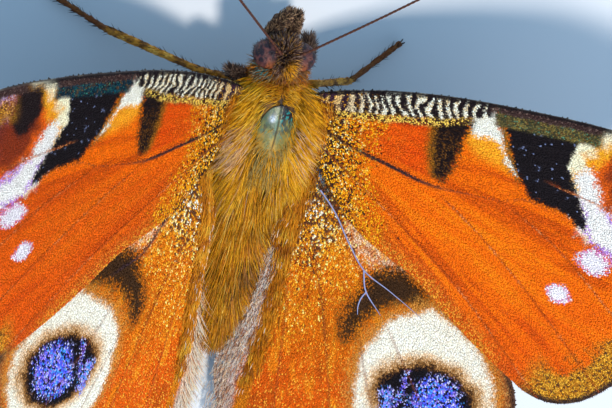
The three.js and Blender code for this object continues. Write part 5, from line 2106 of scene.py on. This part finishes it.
@dataclass
class WingHair:
    """Fine hair on the inner part of a wing, thinning out from its first corner to its last."""

    wing: Wing
    region: tuple[tuple[float, float], tuple[float, float]]
    count: int
    length: tuple[float, float]
    name: str
    tone: Tone = Tone.GOLD
    drift: float = 0.0
    thinning: float = 1.4
    free: float = 0.0
    shrink: float = 0.45

    def build(self) -> bpy.types.Object:
        """Roots the hairs in the wing's plan and lays them back along it.

        Returns:
            The piece.
        """
        random = np.random.default_rng(len(self.name) + self.count)
        (s0, s1), (u0, u1) = self.region
        share = random.random(self.count) ** self.thinning
        u = u0 + (u1 - u0) * share
        crest = np.clip(self.wing.crest(u), -2.0, 2.0) * (self.wing.node == "hindwing")
        s = crest + (s0 + s1) / 2 + (s1 - s0) * np.clip(random.normal(0.0, 0.24, self.count), -0.6, 0.6)
        reach = random.uniform(*self.length, self.count) * (1.0 - self.shrink * share)
        drift = random.normal(self.drift, 0.13, self.count)
        lift = random.uniform(0.05, 0.26, self.count)
        stations = []
        for t in (0.0, 0.3, 0.65, 1.0):
            rise = lift * math.sin(math.pi * min(1.0, 0.15 + 0.75 * t)) - 0.05 * (t == 0)
            at_u = np.maximum(u - reach * t, REAR_LIMIT)
            stations.append(self.wing.on_skin(s + drift * reach * t, at_u, rise))
        paths = np.stack(stations, axis=1)
        float_in = np.array([-self.wing.side.value, 0.0, 0.35]) * self.free
        swing = reach * random.uniform(0.4, 1.3, self.count)
        paths = paths + float_in * (np.array([0.0, 0.1, 0.45, 1.0])[None, :] * swing[:, None])[:, :, None]
        places = np.stack([s, u], axis=-1)
        colours = self.shades(places, random)
        width = random.uniform(0.035, 0.06, self.count)
        tufts = strands(paths, width, colours, self.wing.unwrap(places))
        return tufts.build(self.name, HAIR, self.wing.node)

    def shades(self, places: Array, random: np.random.Generator) -> Array:
        """Golden hair in clumps, or pinkish silver hair.

        Args:
            places: The places to colour.
            random: The source of random numbers.

        Returns:
            A linear colour for each place.
        """
        clump = fractal(places, 0.5, 97)
        pick = random.random(self.count)
        if self.tone is Tone.GOLD:
            colours = plain(self.count, 232, 146, 8)
            colours = lay(colours, paint(180, 100, 10), smooth(0.0, 0.8, clump))
            colours = lay(colours, paint(250, 196, 60), 0.8 * smooth(0.2, 0.9, -clump))
            colours = lay(colours, paint(110, 62, 14), 0.7 * (pick < 0.15))
        else:
            colours = plain(self.count, 255, 212, 176) * 1.12
            colours = lay(colours, paint(255, 240, 226), 0.9 * (pick > 0.55))
            colours = lay(colours, paint(192, 112, 54), 0.9 * (pick < 0.16))
        return colours * random.uniform(0.75, 1.2, (self.count, 1))


@dataclass
class Eye:
    """A large domed compound eye, dark and mottled, with short hairs between its facets."""

    head: Head
    side: Side
    hair_count: int = 420

    def build(self) -> None:
        """Makes the dome and its hairs."""
        clear_selection()
        bpy.ops.mesh.primitive_ico_sphere_add(subdivisions=6, radius=1.0)
        dome = bpy.context.object
        shape = unit(vertices_of(dome))
        centre = np.array(self.head.centre) + np.array([self.side.value * self.head.eye_x, 0.05, 0.12])
        places = centre + shape * np.array(self.head.eye_radii)
        colours = plain(len(shape), 80, 42, 44)
        blots = noise(places, 0.2, 101)
        colours = lay(colours, paint(28, 12, 28), smooth(-0.05, 0.25, blots))
        colours = lay(colours, paint(118, 70, 60), 0.4 * smooth(0.1, 0.6, -blots))
        rim = smooth(0.42, 0.15, self.side.value * shape[:, 0]) * smooth(0.3, -0.5, shape[:, 1])
        colours = lay(colours, paint(150, 78, 30), 0.7 * rim)
        colour_vertices(dome, colours)
        move_vertices(dome, on_floor(places))
        bpy.ops.object.shade_smooth()
        name = f"eye_{self.side.word}"
        finish_piece(dome, f"{name}_dome", EYE, (name,))
        random = np.random.default_rng(61 + self.side.value)
        shape = unit(random.normal(0.0, 1.0, (self.hair_count * 2, 3)))
        away = self.side.value * shape[:, 0]
        shape = shape[(away > 0.0) & (random.random(len(shape)) > 0.6 * smooth(0.3, 0.6, away))]
        roots = centre + shape * np.array(self.head.eye_radii)
        out = unit(shape / np.array(self.head.eye_radii))
        length = random.uniform(0.08, 0.2, len(roots))
        bend = random.normal(0.0, 0.3, out.shape)
        t = np.linspace(0.0, 1.0, 3)[None, :, None]
        paths = roots[:, None] + (out[:, None] + bend[:, None] * t) * length[:, None, None] * t
        pick = random.random(len(roots))
        colours = lay(plain(len(roots), 52, 32, 32), paint(128, 92, 60), 0.8 * (pick > 0.65))
        angle = np.arctan2(shape[:, 2], shape[:, 1])
        spread = np.arccos(np.clip(self.side.value * shape[:, 0], -1.0, 1.0)) / math.pi
        unwrap = 0.5 + np.stack([np.cos(angle), np.sin(angle)], axis=-1) * spread[:, None] * 0.9
        width = random.uniform(0.025, 0.038, len(roots))
        strands(on_floor(paths), width, colours, unwrap).build(f"{name}_hair", HAIR, "eye")


@dataclass
class Antenna:
    """A thin ringed whip that ends in a flat club with a pale tip."""

    side: Side
    length: float = 13.5
    radius: float = 0.075
    club_radius: float = 0.3
    club_length: float = 2.2
    ring_gap: float = 0.3

    def build(self) -> bpy.types.Object:
        """Sweeps the whip with a slight swelling at every ring.

        Returns:
            The piece.
        """
        side = self.side.value
        root = np.array([side * 0.62, 2.85, 0.42])
        far = unit(np.array([side * 0.673, 0.677, 0.3]))
        knots = np.array([
            root, root + far * self.length * 0.4 + (0.0, 0.0, 0.2),
            root + far * self.length * 0.8 + (side * 0.1, 0.0, 0.1),
            root + far * self.length + (side * 0.22, -0.05, -0.05),
        ])
        path = smooth_path(knots, self.ring_gap / 4)
        t = np.linspace(0.0, self.length, len(path))
        rings = 1.0 + 0.13 * np.cos(2.0 * math.pi * t / self.ring_gap)
        club = smooth(self.length - self.club_length - 0.5, self.length - 1.2, t)
        radii = (self.radius + (self.club_radius - self.radius) * club) * rings
        radii = radii * np.sqrt(np.clip((self.length - t) / 0.5, 0.02, 1.0))
        radii[:6] *= np.linspace(1.9, 1.1, 6)
        whip = swept_tube(on_floor(path), radii, 10)
        places = vertices_of(whip)
        far_along = np.linalg.norm(places - on_floor(root), axis=1)
        colours = plain(len(places), 66, 32, 22)
        pale = smooth(0.2, 0.8, np.cos(2.0 * math.pi * far_along / self.ring_gap))
        colours = lay(colours, paint(130, 78, 52), 0.35 * pale)
        dark = smooth(self.length - 3.4, self.length - 2.2, far_along)
        colours = lay(colours, paint(36, 24, 20), dark)
        colours = lay(colours, paint(226, 130, 40), smooth(self.length - 0.7, self.length - 0.3, far_along))
        colour_vertices(whip, colours)
        name = f"antenna_{self.side.word}"
        return finish_piece(whip, f"{name}_whip", HORN, (name,))


def around_limb(random: np.random.Generator, path: Array, marks: Array, radii: Array, where: Array,
                depth: float) -> tuple[Array, Array, Array]:
    """Roots of hairs all round a limb.

    Args:
        random: The source of the ways out from the path.
        path: The limb's middle line.
        marks: How far along the limb each of its points lies.
        radii: The limb's radius at each of them.
        where: How far along the limb each hair is rooted.
        depth: The root's distance from the middle line, as a share of the radius.

    Returns:
        The roots, the limb's heading there and the ways out from it.
    """
    centre = np.stack([np.interp(where, marks, path[:, k]) for k in range(3)], axis=-1)
    slope = np.gradient(path, axis=0)
    ahead = unit(np.stack([np.interp(where, marks, slope[:, k]) for k in range(3)], axis=-1))
    out = random.normal(0.0, 1.0, centre.shape)
    out = unit(out - ahead * np.sum(out * ahead, axis=-1, keepdims=True))
    return centre + out * (np.interp(where, marks, radii) * depth)[:, None], ahead, out


def limb_unwrap(out: Array, where: Array, span: float = UNWRAP_SPAN) -> Array:
    """Places round and along a limb, rolled out flat."""
    turn = np.arctan2(out[:, 0], out[:, 2]) / (2 * math.pi) + 0.5
    return UNWRAP_EDGE + span * np.stack([turn, where], axis=-1)


@dataclass
class Palp:
    """An upturned feeler before the face, thick with scales and bristles."""

    side: Side
    radii: tuple[float, ...] = (0.17, 0.21, 0.24, 0.22, 0.08)
    bristles: int = 1700

    def build(self) -> None:
        """Sweeps the feeler and covers it with flat bristles."""
        side = self.side.value
        knots = np.array([(side * 0.75, 2.85, -2.1), (side * 0.64, 3.4, -1.85), (side * 0.44, 4.05, -1.35),
                          (side * 0.32, 4.6, -0.98), (side * 0.25, 4.98, -0.76)])
        path = smooth_path(knots, 0.12)
        t = np.linspace(0.0, 1.0, len(path))
        radii = np.interp(t, np.linspace(0.0, 1.0, 5), self.radii)
        limb = swept_tube(on_floor(path), radii, 16)
        colours = plain(len(limb.data.vertices), 58, 40, 36)
        colour_vertices(limb, colours)
        name = f"palp_{self.side.word}"
        finish_piece(limb, f"{name}_limb", HORN, (name,))
        random = np.random.default_rng(71 + side)
        where = random.random(self.bristles)
        roots, ahead, out = around_limb(random, path, t, radii, where, 0.9)
        length = random.uniform(0.2, 0.5, self.bristles)
        step = np.linspace(0.0, 1.0, 4)[None, :, None]
        rise = random.uniform(0.05, 0.34, self.bristles)[:, None, None] * np.sin(step * math.pi * 0.55)
        paths = roots[:, None] + ahead[:, None] * length[:, None, None] * step + out[:, None] * rise
        pick = random.random(self.bristles)
        colours = lay(plain(self.bristles, 96, 72, 62), paint(188, 152, 116), 0.85 * (pick > 0.6))
        colours = lay(colours, paint(34, 24, 26), 0.8 * (pick < 0.25))
        width = random.uniform(0.045, 0.08, self.bristles)
        tufts = strands(on_floor(paths), width, colours, limb_unwrap(out, where, 0.9))
        tufts.build(f"{name}_scales", HAIR, "face")


@dataclass
class Tongue:
    """The coiled tongue under the face."""

    turns: float = 1.25
    start: float = 0.8
    end: float = 0.24

    def build(self) -> bpy.types.Object:
        """Sweeps the coil, finely ringed.

        Returns:
            The piece.
        """
        t = np.linspace(0.0, 1.0, 90)
        angle = math.pi * 0.5 - t * self.turns * 2.0 * math.pi
        reach = self.start + (self.end - self.start) * t
        path = np.stack([0.0 * t, 3.0 + reach * np.cos(angle), -3.1 + reach * np.sin(angle)], axis=-1)
        radii = (0.17 - 0.06 * t) * (1.0 + 0.06 * np.cos(t * 2.0 * math.pi * 45))
        coil = swept_tube(on_floor(path), radii, 12)
        colour_vertices(coil, plain(len(coil.data.vertices), 74, 42, 22))
        return finish_piece(coil, "tongue", HORN, ("proboscis",))


@dataclass
class Leg:
    """A leg from hip to claws, scaled olive gold, with dark bristles and spines."""

    name: str
    hip: Array
    knee: Array
    ankle: Array
    toe: Array
    seed: int
    femur_radius: float = 0.27
    tibia_radius: float = 0.21
    tarsus_radius: float = 0.15
    bristles: int = 700

    def build(self) -> None:
        """Sweeps the limb and sets its bristles."""
        parts = (
            (self.hip, self.knee, self.femur_radius, ((0.15, 1.0), (0.5, 1.05), (0.85, 0.85), (0.98, 0.95))),
            (self.knee, self.ankle, self.tibia_radius, ((0.06, 0.9), (0.45, 1.0), (0.92, 1.1), (0.99, 0.9))),
            (self.ankle, self.toe, self.tarsus_radius,
             ((0.08, 1.0), (0.3, 1.1), (0.34, 0.85), (0.55, 1.1), (0.59, 0.85), (0.75, 1.1), (0.79, 0.85),
              (0.97, 1.15))),
        )
        marks = [(self.hip, self.knee, 0.0, 0.2)]
        marks += [(start, end, t, radius * share) for start, end, radius, row in parts for t, share in row]
        knots = np.array([a + (b - a) * t for a, b, t, _ in marks])
        sizes = np.array([size for *_, size in marks])
        path = smooth_path(knots, 0.14)
        lengths = np.concatenate([[0.0], np.cumsum(np.linalg.norm(np.diff(path, axis=0), axis=1))])
        knot_marks = np.array([lengths[np.argmin(np.linalg.norm(path - knot, axis=1))] for knot in knots])
        radii = np.interp(lengths, np.maximum.accumulate(knot_marks), sizes)
        path[:, 2] = np.maximum(path[:, 2], radii + CLOSEST_TO_FLOOR)
        limb = swept_tube(path, radii, 14)
        places = vertices_of(limb)
        knee_mark, ankle_mark = knot_marks[4], knot_marks[8]
        where = lengths[self.nearest(places, path)]
        colours = self.shades(places, where, knee_mark, ankle_mark)
        colour_vertices(limb, colours)
        finish_piece(limb, f"{self.name}_limb", HORN, (self.name,))
        self.bristle(path, lengths, radii, knee_mark, ankle_mark)
        self.claws(path, radii)

    def nearest(self, places: Array, path: Array) -> Array:
        """The index of the path's nearest point to each place."""
        return np.argmin(np.linalg.norm(places[:, None] - path[None], axis=2), axis=1)

    def shades(self, places: Array, where: Array, knee: float, ankle: float) -> Array:
        """Olive gold on thigh and shin, rusty brown on the foot.

        Args:
            places: The places to colour.
            where: How far along the limb each place lies.
            knee: How far along the limb the knee lies, not used.
            ankle: How far along the limb the ankle lies.

        Returns:
            A linear colour for each place.
        """
        mottle = fractal(places, 0.4, 111)
        colours = plain(len(places), 188, 122, 32)
        colours = lay(colours, paint(112, 66, 26), smooth(0.0, 0.7, mottle))
        colours = lay(colours, paint(246, 186, 84), 0.7 * smooth(0.1, 0.8, -mottle))
        foot = smooth(ankle - 0.3, ankle + 0.3, where)
        return lay(colours, paint(104, 52, 28), 0.9 * foot)

    def bristle(self, path: Array, lengths: Array, radii: Array, knee: float, ankle: float) -> None:
        """Flat scales close on the limb, and sparse dark bristles that stand off it.

        Args:
            path: The limb's middle line.
            lengths: How far along the limb each of its points lies.
            radii: The limb's radius at each of its points.
            knee: How far along the limb the knee lies.
            ankle: How far along the limb the ankle lies.
        """
        random = np.random.default_rng(self.seed)
        where = random.uniform(0.2, lengths[-1] - 0.2, self.bristles)
        roots, ahead, out = around_limb(random, path, lengths, radii, where, 0.92)
        spine = random.random(len(where)) < 0.16
        long, short = random.uniform(0.3, 0.55, len(where)), random.uniform(0.18, 0.32, len(where))
        length = np.where(spine, long, short)
        stand = np.where(spine, random.uniform(0.5, 0.85, len(where)), 0.14)
        step = np.linspace(0.0, 1.0, 4)[None, :, None]
        way = unit(ahead + out * stand[:, None])
        paths = roots[:, None] + way[:, None] * length[:, None, None] * step
        paths[..., 2] = np.maximum(paths[..., 2], 0.03)
        colours = self.shades(roots, where, knee, ankle) * random.uniform(0.8, 1.35, (len(where), 1))
        colours = lay(colours, paint(34, 22, 20), spine.astype(float))
        width = np.where(spine, 0.045, random.uniform(0.07, 0.1, len(where)))
        tufts = strands(paths, width, colours, limb_unwrap(out, where / lengths[-1]))
        tufts.build(f"{self.name}_bristles", HAIR, "leg")

    def claws(self, path: Array, radii: Array) -> None:
        """The pair of small hooked claws at the toe.

        Args:
            path: The limb's middle line.
            radii: The limb's radius at each of its points, not used.
        """
        toe = path[-1]
        ahead = unit((path[-1] - path[-5]) * np.array([1.0, 1.0, 0.0]))
        aside = np.array([-ahead[1], ahead[0], 0.0])
        hooks = []
        for way in (-1.0, 1.0):
            hooks.append([toe + aside * way * 0.04, toe + ahead * 0.16 + aside * way * 0.1 + (0, 0, 0.03),
                          toe + ahead * 0.26 + aside * way * 0.13 + (0, 0, -0.02),
                          toe + ahead * 0.28 + aside * way * 0.13 + (0, 0, -0.1)])
        paths = np.array(hooks)
        paths[..., 2] = np.maximum(paths[..., 2], CLOSEST_TO_FLOOR)
        colours = plain(2, 46, 26, 18)
        tufts = strands(paths, np.array([0.11, 0.11]), colours, np.array([[0.3, 0.9], [0.6, 0.9]]), flat=0.9)
        tufts.build(f"{self.name}_claws", HORN, "leg")


@dataclass
class Foreleg:
    """The short folded front leg with its brush of grey brown hair."""

    side: Side
    path: Array
    hairs: int = 1200

    def build(self) -> None:
        """Sweeps the limb and its brush."""
        path = smooth_path(self.path, 0.12)
        t = np.linspace(0.0, 1.0, len(path))
        radii = np.interp(t, (0.0, 0.3, 0.7, 1.0), (0.2, 0.27, 0.25, 0.1))
        limb = swept_tube(on_floor(path), radii, 14)
        colour_vertices(limb, plain(len(limb.data.vertices), 70, 52, 44))
        name = f"foreleg_{self.side.word}"
        finish_piece(limb, f"{name}_limb", HORN, (name,))
        random = np.random.default_rng(81 + self.side.value)
        where = random.uniform(0.0, 1.0, self.hairs)
        roots, ahead, out = around_limb(random, path, t, radii, where, 0.9)
        length = random.uniform(0.25, 0.8, self.hairs)
        way = unit(ahead + out * random.uniform(0.2, 0.9, self.hairs)[:, None])
        step = np.linspace(0.0, 1.0, 4)[None, :, None]
        paths = roots[:, None] + way[:, None] * length[:, None, None] * step
        pick = random.random(self.hairs)
        colours = plain(self.hairs, 82, 62, 54)
        colours = lay(colours, paint(150, 122, 104), 0.8 * (pick > 0.7))
        colours = lay(colours, paint(44, 32, 32), 0.8 * (pick < 0.3))
        width = random.uniform(0.045, 0.07, self.hairs)
        tufts = strands(on_floor(paths), width, colours, limb_unwrap(out, where))
        tufts.build(f"{name}_brush", HAIR, "leg")


# Studio


@dataclass(frozen=True)
class Studio:
    """The pale floor, the soft lights and the camera of the photograph's view."""

    aim: tuple[float, float, float] = (2.873, -0.121, 6.9)
    distance: float = 302.4
    azimuth: float = 233.37
    elevation: float = 65.373
    roll: float = -134.06
    lens: float = 300.0
    sensor: float = 36.0

    def build(self) -> None:
        """Makes the camera first, then the floor and the lights."""
        self.camera()
        self.floor()
        self.light("key", (30.0, -80.0, 500.0), 60.0, 2.5, (1.0, 0.9, 0.76))
        self.light("fill", (120.0, -380.0, 300.0), 260.0, 0.55, (1.0, 0.97, 0.92))
        world = bpy.context.scene.world or bpy.data.worlds.new("studio")
        bpy.context.scene.world = world
        world.use_nodes = True
        world.node_tree.nodes["Background"].inputs["Color"].default_value = (0.46, 0.74, 1.0, 1.0)
        world.node_tree.nodes["Background"].inputs["Strength"].default_value = 0.88
        bpy.context.scene.view_settings.view_transform = "Standard"

    def camera(self) -> None:
        """The camera at the photograph's angle and distance."""
        turn, tilt = math.radians(self.azimuth), math.radians(self.elevation)
        back = Vector((math.sin(turn) * math.cos(tilt), -math.cos(turn) * math.cos(tilt), math.sin(tilt)))
        view = -back
        right = view.cross(Vector((0.0, 0.0, 1.0))).normalized()
        up = right.cross(view)
        roll = math.radians(self.roll)
        top = up * math.cos(roll) + right * math.sin(roll)
        aside = view.cross(top).normalized()
        turned = Matrix((aside, top, back)).transposed().to_4x4()
        data = bpy.data.cameras.new("camera")
        data.lens = self.lens
        data.sensor_width = self.sensor
        data.clip_start = 0.01
        data.clip_end = 10.0
        camera = bpy.data.objects.new("camera", data)
        place = (Vector(self.aim) + back * self.distance) * MM
        camera.matrix_world = Matrix.Translation(place) @ turned
        bpy.context.scene.collection.objects.link(camera)
        bpy.context.scene.camera = camera

    def floor(self) -> None:
        """A plain pale floor."""
        clear_selection()
        bpy.ops.mesh.primitive_plane_add(size=1.6)
        floor = bpy.context.object
        floor.name = "floor"
        material = bpy.data.materials.new("pale_floor")
        material.use_nodes = True
        shader = material.node_tree.nodes["Principled BSDF"]
        shader.inputs["Base Color"].default_value = (0.62, 0.65, 0.72, 1.0)
        shader.inputs["Roughness"].default_value = 0.9
        shader.inputs["Specular IOR Level"].default_value = 0.1
        floor.data.materials.append(material)

    def light(self, name: str, place: tuple[float, float, float], size: float, power: float,
              colour: tuple[float, float, float]) -> None:
        """A square soft light that faces the model.

        Args:
            name: The lamp's name.
            place: Where it stands, in millimetres.
            size: How wide it is, in millimetres.
            power: Its strength in watts.
            colour: Its colour.
        """
        data = bpy.data.lights.new(name, "AREA")
        data.color = colour
        data.size = size * MM
        data.energy = power
        lamp = bpy.data.objects.new(name, data)
        lamp.location = Vector(place) * MM
        way = Vector((0.0, 0.0, 8.0 * MM)) - lamp.location
        lamp.rotation_euler = way.to_track_quat("-Z", "Y").to_euler()
        bpy.context.scene.collection.objects.link(lamp)


def legs() -> list[Leg]:
    """The four walking legs, placed from the hips in the body's frame to the feet on the floor.

    Returns:
        The legs.
    """
    found = []
    for side in Side:
        way = side.value
        hip_middle = on_floor(np.array([way * 1.45, -0.9, -3.55]))
        hip_hind = on_floor(np.array([way * 1.4, -3.5, -3.35]))
        shift = np.array([0.0, HINGE_Y, 0.0])
        if side is Side.RIGHT:
            knee, ankle, toe = np.array([(3.15, 0.25, 4.3), (6.46, -0.19, 1.0), (9.62, 2.33, 0.2)]) + shift
        else:
            knee, ankle, toe = np.array([(-4.05, 0.34, 4.1), (-9.3, 1.6, 1.0), (-12.9, 3.3, 0.2)]) + shift
        found.append(Leg(f"midleg_{side.word}", hip_middle, knee, ankle, toe, 91 + way))
        bends = np.array([(way * 5.0, -6.6, 4.4), (way * 6.4, -11.0, 1.0), (way * 7.6, -14.2, 0.2)])
        knee, ankle, toe = bends + shift
        found.append(Leg(f"hindleg_{side.word}", hip_hind, knee, ankle, toe, 95 + way))
    return found


FORELEG_PATHS = {
    Side.LEFT: np.array([(-1.5, 0.3, -1.9), (-2.05, 0.5, -1.45), (-2.55, 0.72, -1.05),
                         (-2.95, 0.92, -0.85)]),
    Side.RIGHT: np.array([(1.9, 0.9, -2.5), (2.05, 1.5, -2.5), (2.1, 2.2, -2.65), (2.05, 2.6, -2.75)]),
}


def wing_hairs(side: Side, fore: ForeWing, hind: HindWing) -> list[WingHair]:
    """The hair on one side's wings.

    Args:
        side: The side.
        fore: Its fore wing.
        hind: Its hind wing.

    Returns:
        The hair, piece by piece.
    """
    gold, silver, word = Tone.GOLD, Tone.SILVER, side.word
    found = [
        WingHair(hind, ((-0.7, 0.6), (-4.4, -19.0)), 1500, (1.0, 1.9), f"hindwing_{word}_hair", gold,
                 0.05, 1.9),
        WingHair(hind, ((-2.9, -0.2), (-5.0, -22.4)), 1600, (0.5, 1.2), f"hindwing_{word}_fold_hair", silver,
                 -0.15, 1.0),
        WingHair(fore, ((-0.5, 1.0), (0.2, -3.2)), 520, (0.5, 1.2), f"forewing_{word}_hair", gold, 0.6, 1.0),
    ]
    if side is Side.RIGHT:
        return found + [WingHair(hind, ((-1.3, 0.0), (-4.4, -9.5)), 900, (1.2, 2.0),
                                 "hindwing_right_inner_hair", gold, -0.1, 1.3)]
    return found + [
        WingHair(hind, ((-1.7, 0.1), (-4.4, -17.5)), 1700, (1.2, 2.2), "hindwing_left_inner_hair", gold,
                 -0.3, 1.0),
        WingHair(hind, ((-2.9, -1.0), (-12.5, -22.4)), 1100, (1.2, 2.6), "hindwing_left_edge_hair", silver,
                 -0.2, 0.7, free=0.5, shrink=0.1),
    ]


def main() -> None:
    """Builds the studio, then every part of the butterfly."""
    logging.basicConfig(level=logging.INFO, format="%(message)s")
    Studio().build()
    trunk, head = Trunk(), Head()
    BodySkin(trunk, head).build()
    BackPlate(trunk).build()
    Coat(trunk, head).build()
    Tongue().build()
    for leg in legs():
        leg.build()
    for side in Side:
        Eye(head, side).build()
        Antenna(side).build()
        Palp(side).build()
        Foreleg(side, FORELEG_PATHS[side]).build()
        fore, hind = ForeWing(side), HindWing(side)
        fore.build()
        hind.build()
        for hair in wing_hairs(side, fore, hind):
            hair.build()
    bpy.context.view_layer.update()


if __name__ == "__main__":
    main()
